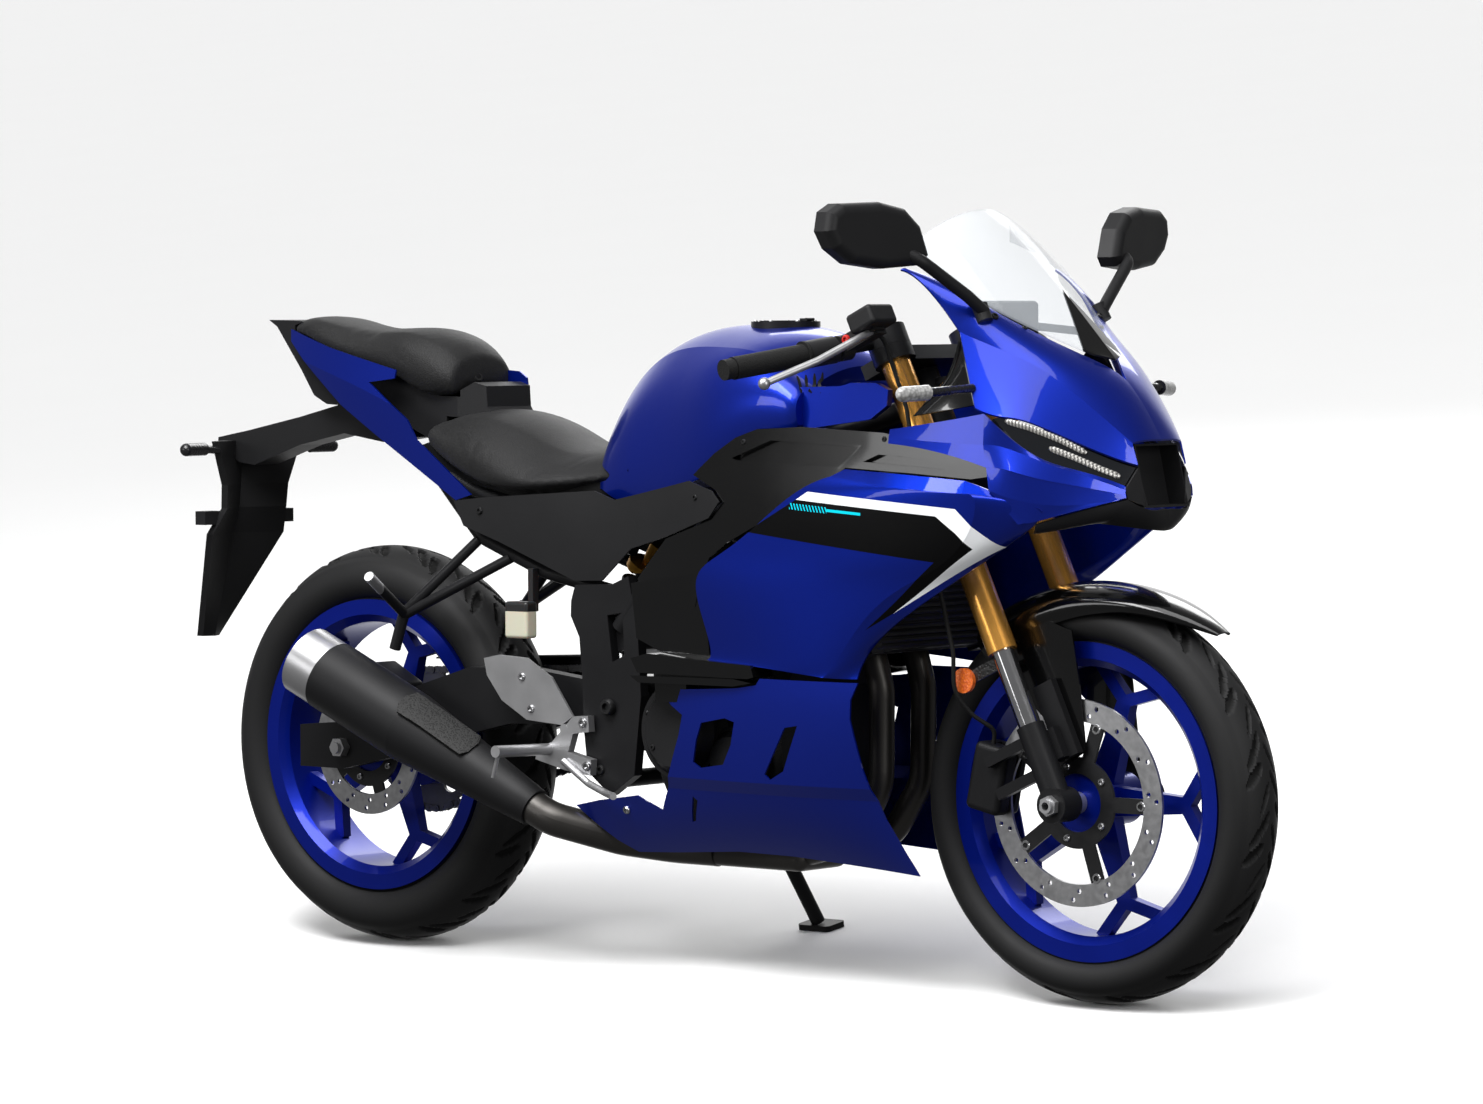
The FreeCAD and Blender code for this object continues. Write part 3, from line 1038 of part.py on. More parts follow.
screen_rows = [
    [[at(1177, 0, 1143), at(1240, 0, 1094), at(1320, 0, 1018), at(1406, 0, 926)]],
    [[at(1165, 62, 1132), at(1231, 76, 1081), at(1310, 66, 1004), at(1400, 20, 930)]],
    [[at(1136, 111, 1099), at(1206, 152, 1048), at(1300, 104, 986), at(1392, 32, 933)]],
]
screen = skin([screen_rows], Vector(-1.6, 0, -2.4))
screen = screen.cut(shell)
node("windscreen", union(screen, mirrored(screen)))

# Mirrors: rounded housings on stalks that rise from the cowl beside the screen.
mirror_outline = [(218, 1074), (231, 1060), (300, 1055), (359, 1062), (392, 1083), (406, 1107), (401, 1134),
                  (380, 1146), (308, 1149), (262, 1140), (234, 1116)]
MIRROR_SWEEP = 36.0 / 188.0
MIRROR_DEEP = 34.0
mirror_way = Vector(1, -MIRROR_SWEEP, 0)
mirror_way.normalize()
corners = [Vector(1216 * STRETCH - (y - 218) * MIRROR_SWEEP, -y, z) for y, z in mirror_outline]
housing = Part.Face(Part.makePolygon(corners + corners[:1])).extrude(mirror_way * MIRROR_DEEP)
front_plane = (corners[0] + mirror_way * MIRROR_DEEP).dot(mirror_way)
front_edges = [e for e in housing.Edges if all(abs(v.Point.dot(mirror_way) - front_plane) < 0.1 for v in e.Vertexes)]
housing = housing.makeFillet(14.0, front_edges)
stalk = tube([at(1224, 268, 1082), at(1250, 250, 1066), at(1272, 172, 1016), at(1279, 142, 994)], 9.0, 30.0)
foot = rod(at(1282, 144, 980), at(1270, 142, 1003), 12.0)
node("mirrors", both_sides(union(housing, stalk, foot).cut([shell, screen])))
dash = block(Vector(1196 * STRETCH, -64, 950), Vector(1226 * STRETCH, 64, 1010))
dash = dash.makeFillet(8.0, dash.Edges)
dash_arm = tube([on_head(0.88), at(1150, 0, 900), at(1208, 0, 960)], 9.0, 40.0).cut([frame, head_bore])
struts = [rod(at(1210, s * 40, 975), at(1257, s * 164, 962), 6.0) for s in (1, -1)]
node("dashboard", union(dash, dash_arm, *struts).cut([shell, mirrored(shell)]))

# Rider's footrests: bracket on the pivot plate, heel guard, peg and foot pedal, one set a side.
bracket_outline = [(546, 388), (516, 386), (474, 346), (443, 334), (440, 318), (500, 304), (550, 298), (552, 322),
                   (506, 332), (516, 360), (548, 364)]
bracket = prism(bracket_outline, -164.0, -150.0)
guard_outline = [(334, 468), (365, 474), (422, 471), (472, 443), (514, 386), (492, 372), (421, 377), (370, 405), (340, 442)]
heel_guard = prism(guard_outline, -162.0, -158.0)
pins = [across(8.0, 9.0, Vector(x * STRETCH, -155.2, z)) for x, z in ((530, 376), (538, 311), (498, 366))]
peg = rod(at(466, 160, 334), at(466, 284, 338), 9.0)
feeler = rod(at(466, 276, 338), at(454, 276, 298), 3.0)
pedal = tube([at(500, 168, 318), at(556, 174, 287), at(600, 184, 275), at(632, 206, 274)], 5.5, 20.0)
footrest = union(bracket, heel_guard, peg, feeler, pedal, *pins)
node("rider_footrests", both_sides(footrest))

hanger = union(rod(at(276, 106, 647), at(150, 140, 532), 8.0), rod(at(345, 110, 620), at(150, 140, 528), 8.0),
               rod(at(150, 140, 536), at(128, 140, 474), 9.0), rod(at(150, 140, 528), at(172, 245, 592), 8.0))
hanger = hanger.cut(brace)
node("pillion_hangers", both_sides(hanger))
pot = block(Vector(374 * STRETCH, -160, 500), Vector(420 * STRETCH, -134, 556))
pot = pot.makeFillet(5.0, pot.Edges)
strap = block(Vector(402 * STRETCH, -136, 540), Vector(412 * STRETCH, -123.2, 606))
node("rear_reservoir", union(pot, strap))

# Side stand: a bent leg on the left, its foot flat on the floor as the machine leans.
STAND = size("stand_tube_radius")
leg = tube([STAND_PIVOT, STAND_PIVOT + (FOOT - STAND_PIVOT) * 0.5 + Vector(4, 4, 0), FOOT + Vector(0, -8, 10)], STAND, 80.0)
eye = rod(STAND_PIVOT - STAND_AXIS * STAND_EYE, STAND_PIVOT + STAND_AXIS * STAND_EYE, 18.0)
pad = Part.makeBox(62.0, 46.0, 9.0, Vector(-31, -23, 0))
pad = pad.makeFillet(8.0, [e for e in pad.Edges if e.BoundBox.ZLength > 5])
pad.Placement = Placement(FOOT, Rotation(Vector(1, 0, 0), size("lean")))
node("side_stand", union(leg, eye, pad))

# Parking: lean everything to the left and set the origin under the middle of the whole machine.
doc.recompute()
lean_turn = Rotation(Vector(1, 0, 0), -size("lean"))
leaning = Placement(Vector(0, 0, 0), lean_turn)
low = [math.inf] * 3
high = [-math.inf] * 3
for feature, place in NODES:
    solid = feature.Shape.copy()
    solid.Placement = leaning.multiply(place)
    for point in solid.tessellate(0.5)[0]:
        for k in range(3):
            low[k] = min(low[k], point[k])
            high[k] = max(high[k], point[k])
shift = Vector(-(low[0] + high[0]) / 2, -(low[1] + high[1]) / 2, -low[2])
parked = Placement(shift, lean_turn)
for feature, place in NODES:
    feature.Placement = parked.multiply(place)
doc.recompute()

for thing in doc.Objects:
    if "Invalid" in thing.State or "Error" in thing.State:
        raise RuntimeError(thing.Label + " did not recompute")
for feature, place in NODES:
    if feature.Shape.isNull() or not feature.Shape.isValid():
        raise RuntimeError(feature.Label + " has no valid shape")

print("size", [round(high[k] - low[k], 1) for k in range(3)])
steer_foot = Vector(FRONT_AXLE.x + size("trail"), 0, 0)
for name, spot, way in (("steering", steer_foot, STEER_AXIS), ("front_wheel", FRONT_AXLE, Vector(0, 1, 0)),
                        ("rear_wheel", REAR_AXLE, Vector(0, 1, 0)), ("side_stand", STAND_PIVOT, STAND_AXIS),
                        ("filler_lid", LID_HINGE, Vector(0, 1, 0)),
                        ("bobbin_left", BOBBIN - Vector(0, 9, 0), Vector(0, 1, 0)),
                        ("bobbin_right", Vector(BOBBIN.x, 9 - BOBBIN.y, BOBBIN.z), Vector(0, -1, 0)),
                        ("stand_foot", FOOT, Vector(0, 0, -1))):
    spot = parked.multVec(spot)
    way = lean_turn.multVec(way)
    print("place", name, [round(v / 1000, 6) for v in spot], [round(v, 7) for v in way])
print("stand swing", round(STAND_SWING, 2))
print("steering lock", size("steering_lock"))

os.makedirs("parts", exist_ok=True)
for feature, place in NODES:
    feature.Shape.exportStep("parts/%s.step" % feature.Label)
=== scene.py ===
import cmath
import json
import math
import bmesh
import bpy
from mathutils import Matrix, Vector
from mathutils.bvhtree import BVHTree


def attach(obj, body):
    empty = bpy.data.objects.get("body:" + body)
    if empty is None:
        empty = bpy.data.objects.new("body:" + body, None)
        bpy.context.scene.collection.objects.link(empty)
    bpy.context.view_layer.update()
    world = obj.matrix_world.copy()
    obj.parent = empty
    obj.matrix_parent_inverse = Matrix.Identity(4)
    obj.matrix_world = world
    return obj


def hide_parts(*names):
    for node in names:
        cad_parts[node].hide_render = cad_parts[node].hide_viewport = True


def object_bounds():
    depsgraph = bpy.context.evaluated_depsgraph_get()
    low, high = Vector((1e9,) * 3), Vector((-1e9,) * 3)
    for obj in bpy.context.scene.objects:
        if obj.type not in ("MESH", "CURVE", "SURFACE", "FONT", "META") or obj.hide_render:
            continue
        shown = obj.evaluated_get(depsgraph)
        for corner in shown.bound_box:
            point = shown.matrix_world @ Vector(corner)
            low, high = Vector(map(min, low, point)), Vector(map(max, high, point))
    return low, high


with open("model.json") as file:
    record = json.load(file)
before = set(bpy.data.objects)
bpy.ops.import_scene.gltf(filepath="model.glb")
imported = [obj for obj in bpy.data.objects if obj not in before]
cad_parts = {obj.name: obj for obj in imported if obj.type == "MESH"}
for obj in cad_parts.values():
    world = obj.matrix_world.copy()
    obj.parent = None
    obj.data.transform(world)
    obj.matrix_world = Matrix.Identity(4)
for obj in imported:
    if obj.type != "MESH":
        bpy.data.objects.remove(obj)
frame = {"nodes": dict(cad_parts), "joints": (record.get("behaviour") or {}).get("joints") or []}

cad_low, cad_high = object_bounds()

# The room. A pale floor runs out to a white sweep behind the machine, and the rest of the room
# is a quiet grey. The machine was drawn upright in millimetres and leans to its left as parked.
# The floor throws no light back, so what faces down stays dark as on a cut-out studio picture.
LEAN = math.radians(8.0)
WHEEL_HEIGHT = 0.314
pins = {joint["name"]: Vector(joint["pos_m"]) for joint in frame["joints"]}
PARKED = (Matrix.Translation(pins["rear_wheel_spin"]) @ Matrix.Rotation(-LEAN, 4, "X")
          @ Matrix.Translation((0, 0, -WHEEL_HEIGHT)))


def at(x, half, z):
    """A place on the upright machine, carried to where it stands; half grows to its right side."""
    return PARKED @ Vector((x / 1000, -half / 1000, z / 1000))


def aim(x, y, z):
    """A direction on the upright machine, leaned with it."""
    return PARKED.to_3x3() @ Vector((x, y, z))


YAW, PITCH, ROLL = 2.25995, -0.042235, -0.0041777
EYE_PLACE, LENS, SENSOR, SIGHT = (6.11197, -6.55369, 0.99241), 136.76, 36.0, 200.0
look = Vector((math.cos(PITCH) * math.cos(YAW), math.cos(PITCH) * math.sin(YAW), math.sin(PITCH)))
level = look.cross(Vector((0, 0, 1))).normalized()
rise = level.cross(look)
right = math.cos(ROLL) * level + math.sin(ROLL) * rise
up = math.cos(ROLL) * rise - math.sin(ROLL) * level
eye = Matrix.Identity(4)
for row in range(3):
    eye[row][0], eye[row][1], eye[row][2] = right[row], up[row], -look[row]
eye.translation = Vector(EYE_PLACE)
camera = bpy.data.objects.new("camera", bpy.data.cameras.new("camera"))
camera.data.lens = LENS
camera.data.sensor_width = SENSOR
camera.data.clip_end = SIGHT
camera.matrix_world = PARKED @ eye
bpy.context.scene.collection.objects.link(camera)
bpy.context.scene.camera = camera


class Signal:
    """A shader socket that takes part in arithmetic, one Math node for each step."""

    def __init__(self, finish, socket):
        self.finish, self.socket = finish, socket

    def step(self, operation, first, second):
        return self.finish.node("Math", {"operation": operation}, {0: first, 1: second})

    def __add__(self, other):
        return self.step("ADD", self, other)

    def __mul__(self, other):
        return self.step("MULTIPLY", self, other)

    def __sub__(self, other):
        return self.step("SUBTRACT", self, other)

    def __rsub__(self, other):
        return self.step("SUBTRACT", other, self)

    def __gt__(self, other):
        return self.step("GREATER_THAN", self, other)

    def __lt__(self, other):
        return self.step("LESS_THAN", self, other)


class Finish:
    """A material on one principled shader. Values stay on its sockets and patterns are fed in."""

    def __init__(self, name, colour, **sockets):
        self.material = bpy.data.materials.new(name)
        self.material.use_nodes = True
        self.tree = self.material.node_tree
        self.shader = self.tree.nodes["Principled BSDF"]
        self.colour = (*colour, 1.0)
        self.shader.inputs["Base Color"].default_value = self.colour
        for socket, value in sockets.items():
            self.shader.inputs[socket.replace("_", " ")].default_value = value

    def node(self, kind, settings, sockets, output=0):
        made = self.tree.nodes.new("ShaderNode" + kind)
        for setting, value in settings.items():
            setattr(made, setting, value)
        for socket, value in sockets.items():
            if isinstance(value, Signal):
                self.tree.links.new(value.socket, made.inputs[socket])
            else:
                made.inputs[socket].default_value = value
        return Signal(self, made.outputs[output])

    def spot(self):
        """Object coordinates turned back to the upright machine, in metres."""
        here = self.node("TexCoord", {}, {}, 3)
        return self.node("Mapping", {"vector_type": "TEXTURE"},
                         {0: here, 1: PARKED.translation, 2: (-LEAN, 0, 0)})

    def along(self, axis):
        return self.node("SeparateXYZ", {}, {0: self.spot()}, "XYZ".index(axis))

    def outboard(self):
        """How far out from the machine's middle plane, in metres."""
        return self.node("Math", {"operation": "ABSOLUTE"}, {0: self.along("Y")})

    def ripple(self, signal, pace):
        """An even ripple from 0 to 1 as a signal grows."""
        swing = self.node("Math", {"operation": "SINE"}, {0: signal * pace})
        return swing * 0.5 + 0.5

    def noise(self, scale, detail=2.0, stretch=(1, 1, 1)):
        """Even noise from 0 to 1, with its grains drawn out along an axis by a small stretch."""
        place = self.node("Mapping", {}, {0: self.spot(), 3: stretch})
        return self.node("TexNoise", {}, {"Vector": place, "Scale": scale, "Detail": detail})

    def grain(self, scale):
        """Cells of moulded grain, 0 in their middles."""
        return self.node("TexVoronoi", {}, {"Vector": self.spot(), "Scale": scale})

    def mix(self, share, first, second):
        return self.node("Mix", {"data_type": "RGBA"}, {0: share, 6: first, 7: second}, 2)

    def feed(self, socket, signal):
        self.tree.links.new(signal.socket, self.shader.inputs[socket])
        return self

    def bump(self, height, strength, depth):
        """Relief from a height of 0 to 1, that many millimetres deep."""
        raised = self.node("Bump", {}, {"Height": height, "Strength": strength, "Distance": depth / 1000})
        return self.feed("Normal", raised)

    def wear(self, spread, low, high, scale=6.0):
        """Uneven gloss between two roughnesses and a little uneven colour."""
        cloud = self.noise(scale, 5.0)
        self.feed("Roughness", cloud * (high - low) + low)
        darker = (*[c * (1 - spread) for c in self.colour[:3]], 1.0)
        return self.feed("Base Color", self.mix(cloud, darker, self.colour))


def dress(node, finish):
    """Gives a carried-over solid its finish."""
    for place in frame["nodes"][node].material_slots:
        place.material = finish.material


FLOOR_REACH, FLOOR_GAP = 60.0, 0.0005
floor_finish = Finish("pale_floor", (0.97, 0.97, 0.97))
floor_finish.wear(0.02, 0.65, 0.8, 2.0)
sheet = bmesh.new()
bmesh.ops.create_grid(sheet, x_segments=8, y_segments=8, size=FLOOR_REACH)
bmesh.ops.translate(sheet, verts=sheet.verts, vec=(0, 0, cad_low.z - FLOOR_GAP))
floor_mesh = bpy.data.meshes.new("floor")
sheet.to_mesh(floor_mesh)
sheet.free()
floor = bpy.data.objects.new("floor", floor_mesh)
floor_mesh.materials.append(floor_finish.material)
bpy.context.scene.collection.objects.link(floor)
floor.visible_diffuse = False
floor.visible_glossy = False

SWEEP_START, SWEEP_END, ROOM_GREY, SWEEP_WHITE = 0.55, 0.93, 0.16, 1.05
room = bpy.data.worlds.new("room")
bpy.context.scene.world = room
room.use_nodes = True
air = room.node_tree
way = air.nodes.new("ShaderNodeTexCoord")
towards = air.nodes.new("ShaderNodeVectorMath")
towards.operation = "DOT_PRODUCT"
ahead = aim(*look)
towards.inputs[1].default_value = (ahead.x, ahead.y, 0.0)
sweep = air.nodes.new("ShaderNodeMapRange")
sweep.interpolation_type = "SMOOTHSTEP"
for title, value in (("From Min", SWEEP_START), ("From Max", SWEEP_END), ("To Min", ROOM_GREY),
                     ("To Max", SWEEP_WHITE)):
    sweep.inputs[title].default_value = value
air.links.new(way.outputs["Generated"], towards.inputs[0])
air.links.new(towards.outputs["Value"], sweep.inputs["Value"])
air.links.new(sweep.outputs["Result"], air.nodes["Background"].inputs["Strength"])
air.nodes["Background"].inputs["Color"].default_value = (1, 1, 1, 1)


def softbox(name, place, target, wide, tall, power):
    """A soft square light at a place in metres, turned to a target on the machine."""
    lamp = bpy.data.lights.new(name, "AREA")
    lamp.shape = "RECTANGLE"
    lamp.size, lamp.size_y, lamp.energy = wide, tall, power
    box = bpy.data.objects.new(name, lamp)
    bpy.context.scene.collection.objects.link(box)
    box.location = place
    box.rotation_euler = (Vector(target) - Vector(place)).to_track_quat("-Z", "Y").to_euler()


softbox("front_light", (4.6, -1.2, 1.9), (0.4, 0, 0.6), 1.6, 2.0, 55.0)
softbox("top_light", (0.0, -1.6, 3.0), (0.5, -0.2, 0.8), 2.4, 1.3, 110.0)
softbox("side_light", (-1.8, -4.6, 2.2), (0, 0, 0.5), 2.8, 1.2, 42.0)
softbox("far_light", (-1.5, 4.0, 2.8), (0, 0, 0.5), 3.0, 1.6, 60.0)
ceiling = bpy.data.objects.new("ceiling_light", bpy.data.lights.new("ceiling_light", "SUN"))
CEILING_POWER, CEILING_SPREAD, CEILING_TURN = 2.3, 55.0, (12.0, 8.0, 0.0)
ceiling.data.energy, ceiling.data.angle = CEILING_POWER, math.radians(CEILING_SPREAD)
ceiling.rotation_euler = [math.radians(turn) for turn in CEILING_TURN]
bpy.context.scene.collection.objects.link(ceiling)
bpy.context.scene.view_settings.view_transform = "Standard"

# Wheels. Cast alloy wheels with five spokes that fork in two, in gloss blue enamel with a fine
# orange peel. Each turns on the bearings in its hub.
wheel_enamel = Finish("wheel_enamel", (0.0015, 0.014, 0.30), Metallic=0.6, Specular_IOR_Level=0.2,
                      Coat_Weight=0.25, Coat_Roughness=0.05)
wheel_enamel.wear(0.25, 0.28, 0.4, 14.0).bump(wheel_enamel.noise(900.0), 0.15, 0.15)
for rim in ("front_rim", "rear_rim"):
    dress(rim, wheel_enamel)

# Tyres. Radial road tyres in carbon black rubber. The tread is cut with slanting grooves, set half
# a pitch apart on its two sides, and the sidewalls are bare. The groove floors are painted darker
# as painted shade.
tyre_rubber = Finish("tyre_rubber", (0.010, 0.010, 0.0105), Specular_IOR_Level=0.2)
tyre_rubber.wear(0.3, 0.5, 0.7, 25.0).bump(tyre_rubber.noise(700.0, 3.0), 0.5, 0.15)
# Where the grooves are marked, the rubber is painted near black: painted shade in the grooves.
cut = tyre_rubber.node("Attribute", {"attribute_name": "cut"}, {}, "Fac")
tyre_rubber.feed("Base Color", tyre_rubber.mix(cut, (0.014, 0.014, 0.0145, 1), (0.0008, 0.0008, 0.0008, 1)))
FRONT_AXLE, REAR_AXLE = (1380.0, 293.0), (0.0, 314.0)
WHEELS = {"front": (FRONT_AXLE, 110.0, 56.0, 16), "rear": (REAR_AXLE, 140.0, 70.0, 18)}
RIM_SEAT, RIM_LIP, BEAD_SHARE, TYRE_WALL = 216.3, 232.0, 0.70, 8.0
TREAD_EDGE_TURN, CROWN_WALL = 42.0, 11.0
AROUND, ACROSS = 448, 44
GROOVE_DEPTH, GROOVE_WIDTH = 4.0, 0.075
GROOVES = ((0.0, 0.10, 0.88, 0.55), (0.34, 0.30, 0.98, 0.35), (0.66, 0.05, 0.55, 0.75))


def add(name, mesh, finish, body):
    """A finished piece at the origin, carried by one body of the machine."""
    thing = bpy.data.objects.new(name, mesh)
    bpy.context.scene.collection.objects.link(thing)
    mesh.materials.clear()
    mesh.materials.append(finish.material)
    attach(thing, body)
    return thing


def wall_between(bm, near, far):
    """Faces between two closed rows of corners."""
    for i in range(len(near)):
        k = (i + 1) % len(near)
        bm.faces.new((near[i], near[k], far[k], far[i]))


def settle(bm, name, smooth, stand=PARKED):
    """Closes a built form, turns its faces outward and leans it over with the machine."""
    bmesh.ops.remove_doubles(bm, verts=bm.verts, dist=1e-6)
    bmesh.ops.recalc_face_normals(bm, faces=bm.faces)
    bmesh.ops.transform(bm, matrix=stand, verts=bm.verts)
    mesh = bpy.data.meshes.new(name)
    bm.to_mesh(mesh)
    bm.free()
    mesh.shade_smooth()
    mesh.set_sharp_from_angle(angle=math.radians(smooth))
    return mesh


def arc_through(first, middle, last, count):
    """Points on the circle through three points of a section, ends included."""
    a, b, c = (complex(*place) for place in (first, middle, last))
    ratio = (c - a) / (b - a)
    centre = a + (b - a) * (ratio - abs(ratio) ** 2) / (ratio - ratio.conjugate())
    swing = cmath.phase((b - centre) / (a - centre)) + cmath.phase((c - centre) / (b - centre))
    places = [centre + (a - centre) * cmath.exp(1j * swing * i / (count - 1)) for i in range(count)]
    return [(place.real, place.imag) for place in places]


def groove(turn, side, repeats):
    """1 where the tread is cut, at a turn round the wheel and a side from -1 to 1, else 0."""
    handed = 0.5 if side < 0 else 0.0
    reach = abs(side)
    for start, inner, outer, slant in GROOVES:
        if inner < reach < outer:
            phase = (turn * repeats + handed + start + slant * reach) % 1.0
            width = GROOVE_WIDTH * min(1.0, (outer - reach) * 5, (reach - inner) * 7 + 0.35)
            if abs(phase - 0.5) < width:
                return 1.0
    return 0.0


def tyre_mesh(name, axle, width, crown, repeats):
    """A hollow tyre lathed from its section, with the grooves sunk and marked for their painted shade."""
    station, radius = axle
    half = width / 2
    edge_angle = math.radians(TREAD_EDGE_TURN)
    edge_y, edge_r = crown * math.sin(edge_angle), radius - crown * (1 - math.cos(edge_angle))
    bead_y = half * BEAD_SHARE
    waist = (RIM_LIP + edge_r) / 2
    tread = arc_through((-edge_y, edge_r), (0, radius), (edge_y, edge_r), ACROSS)
    wall = arc_through((edge_y, edge_r), (half, waist), (bead_y, RIM_LIP), 9)[1:]
    inner = [(bead_y, RIM_SEAT), (bead_y - TYRE_WALL, RIM_SEAT), (bead_y - TYRE_WALL, RIM_LIP),
             (half - TYRE_WALL, waist), (edge_y - TYRE_WALL, edge_r - TYRE_WALL), (0, radius - CROWN_WALL)]
    half_inner = wall + inner
    section = tread + half_inner + [(-y, r) for y, r in reversed(half_inner[:-1])]
    bm = bmesh.new()
    # The groove share also drives the painted shade in the grooves.
    groove_shade_share = bm.verts.layers.float.new("cut")
    rings = []
    for i in range(AROUND):
        angle = 2 * math.pi * i / AROUND
        ring = []
        for k, (y, r) in enumerate(section):
            sunk = groove(i / AROUND, k / (ACROSS - 1) * 2 - 1, repeats) if k < ACROSS else 0.0
            r -= GROOVE_DEPTH * sunk
            corner = bm.verts.new(((station + r * math.cos(angle)) / 1000, y / 1000,
                                   (radius + r * math.sin(angle)) / 1000))
            corner[groove_shade_share] = sunk
            ring.append(corner)
        rings.append(ring)
    for i in range(AROUND):
        wall_between(bm, rings[i], rings[(i + 1) % AROUND])
    return settle(bm, name, 40.0)


for end, sizes in WHEELS.items():
    title = end + "_tyre_tread"
    tyre = add(title, tyre_mesh(title, *sizes), tyre_rubber, end + "_wheel")
    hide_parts(end + "_tyre")

# Brakes. Ground stainless discs, drilled for cooling, on black carriers, and cast calipers in
# black that clamp them. The front disc floats on its carrier, held by bobbins.
RING_PACE, FRONT_CARRIER, REAR_CARRIER = 5200.0, 0.1165, 0.0785
CARRIER_BLACK = (0.008, 0.008, 0.009, 1)
GROUND_DARK, GROUND_BRIGHT = (0.36, 0.36, 0.37, 1), (0.58, 0.58, 0.59, 1)


def disc_finish(name, axle, carrier_reach):
    """Ground steel outside the reach in metres of a black carrier round an axle."""
    steel = Finish(name, (0.50, 0.50, 0.51))
    x, z = steel.along("X") - axle[0] / 1000, steel.along("Z") - axle[1] / 1000
    square = x * x + z * z
    radius = square.step("SQRT", square, 0)
    rotor = radius > carrier_reach
    rings = steel.ripple(radius, RING_PACE)
    cloud = steel.noise(120.0, 3.0)
    steel.feed("Metallic", rotor * 0.9 + 0.1)
    steel.feed("Base Color", steel.mix(rotor, CARRIER_BLACK, steel.mix(cloud, GROUND_DARK, GROUND_BRIGHT)))
    return steel.feed("Roughness", cloud * 0.2 + 0.24).bump(rings * rotor + cloud * 0.3, 0.3, 0.08)


cast_black = Finish("cast_black", (0.012, 0.012, 0.013), Metallic=0.2, Specular_IOR_Level=0.2)
cast_black.wear(0.35, 0.36, 0.55, 18.0).bump(cast_black.noise(420.0, 3.0), 0.25, 0.25)
dress("front_disc", disc_finish("front_disc_steel", FRONT_AXLE, FRONT_CARRIER))
dress("rear_disc", disc_finish("rear_disc_steel", REAR_AXLE, REAR_CARRIER))
for caliper in ("front_caliper", "rear_caliper"):
    dress(caliper, cast_black)

# Sprocket. Hardened steel under a film of chain oil, screwed to a carrier on the rear hub. The
# chain's solid has the same finish, until the links further on take its place.
dark_steel = Finish("dark_steel", (0.16, 0.16, 0.165), Metallic=0.9)
dark_steel.wear(0.45, 0.3, 0.55, 22.0).bump(dark_steel.noise(300.0), 0.2, 0.1)
for part in ("rear_sprocket", "chain"):
    dress(part, dark_steel)

# Fork, yokes and bars. Gold anodised outer tubes over hard chromed sliders, with cast bottoms
# and forged yokes in satin black. Axles and hand levers are bare forged alloy.
gold_tube = Finish("gold_tube", (0.95, 0.46, 0.09), Metallic=0.8, Coat_Weight=0.4, Coat_Roughness=0.1)
gold_tube.wear(0.08, 0.2, 0.3, 30.0).bump(gold_tube.noise(500.0, 1.0, (1, 1, 0.08)), 0.12, 0.06)
chrome_tube = Finish("chrome_tube", (0.72, 0.72, 0.74), Metallic=1.0)
chrome_tube.wear(0.12, 0.06, 0.16, 40.0)
alloy = Finish("alloy", (0.5, 0.5, 0.51), Metallic=0.85)
alloy.wear(0.2, 0.28, 0.45, 26.0).bump(alloy.noise(520.0, 3.0), 0.2, 0.12)
satin_black = Finish("satin_black", (0.010, 0.010, 0.011), Specular_IOR_Level=0.2)
satin_black.wear(0.3, 0.32, 0.48, 12.0).bump(satin_black.noise(380.0, 3.0), 0.15, 0.12)
dress("fork_outer_tubes", gold_tube)
dress("fork_inner_tubes", chrome_tube)
for part in ("fork_bottoms", "fork_yokes", "handlebars"):
    dress(part, satin_black)
for part in ("front_axle", "rear_axle", "control_levers"):
    dress(part, alloy)

# Front mudguard. A thin moulding in gloss black, screwed to the fork bottoms through its side
# plates. Long soft waves in its face bend the reflections a little.
gloss_black = Finish("gloss_black", (0.002, 0.002, 0.0022), Specular_IOR_Level=0.3, Coat_Weight=0.6,
                     Coat_Roughness=0.03)
gloss_black.wear(0.2, 0.12, 0.22, 7.0).bump(gloss_black.noise(24.0), 0.08, 0.3)
dress("front_mudguard", gloss_black)

# Grips, switches and hose. Moulded rubber grips with a fine pattern, switch housings of grained
# black plastic clamped round the bars, and a rubber brake hose down the right leg.
grip_rubber = Finish("grip_rubber", (0.011, 0.011, 0.011), Specular_IOR_Level=0.2)
grip_rubber.wear(0.3, 0.6, 0.8, 40.0).bump(grip_rubber.grain(420.0), 0.7, 0.7)
dress("grips", grip_rubber)
moulded_black = Finish("moulded_black", (0.013, 0.013, 0.014), Specular_IOR_Level=0.22)
moulded_black.wear(0.3, 0.42, 0.6, 10.0).bump(moulded_black.grain(900.0), 0.35, 0.18)
dress("hand_controls", moulded_black)
dress("brake_hose", grip_rubber)

# Reflectors. Round amber lenses with small prisms behind them, on black brackets that bolt to
# the fork. The finish is amber beyond the bracket's outer face and black inside it.
REFLECTOR_FACE = 0.1112
amber_lens = Finish("amber_lens", (0.85, 0.16, 0.015), IOR=1.49, Coat_Weight=0.6)
prisms = amber_lens.grain(260.0)
amber_lens.feed("Roughness", prisms * 0.5 + 0.12).bump(prisms, 0.8, 0.8)
beyond = amber_lens.outboard() > REFLECTOR_FACE
facets = amber_lens.mix(prisms, (0.9, 0.20, 0.02, 1), (0.5, 0.06, 0.006, 1))
amber_lens.feed("Base Color", amber_lens.mix(beyond, (0.006, 0.006, 0.006, 1), facets))
dress("reflectors", amber_lens)

# Frame. Steel tubes and plates welded up and painted satin black, with a swingarm of pressed
# box section, a seat subframe of bent tubes, and the side stand on its own lug.
for part in ("main_frame", "seat_subframe", "swingarm"):
    dress(part, satin_black)
dress("chain_guard", moulded_black)
dress("side_stand", satin_black)
dress("rider_footrests", alloy)

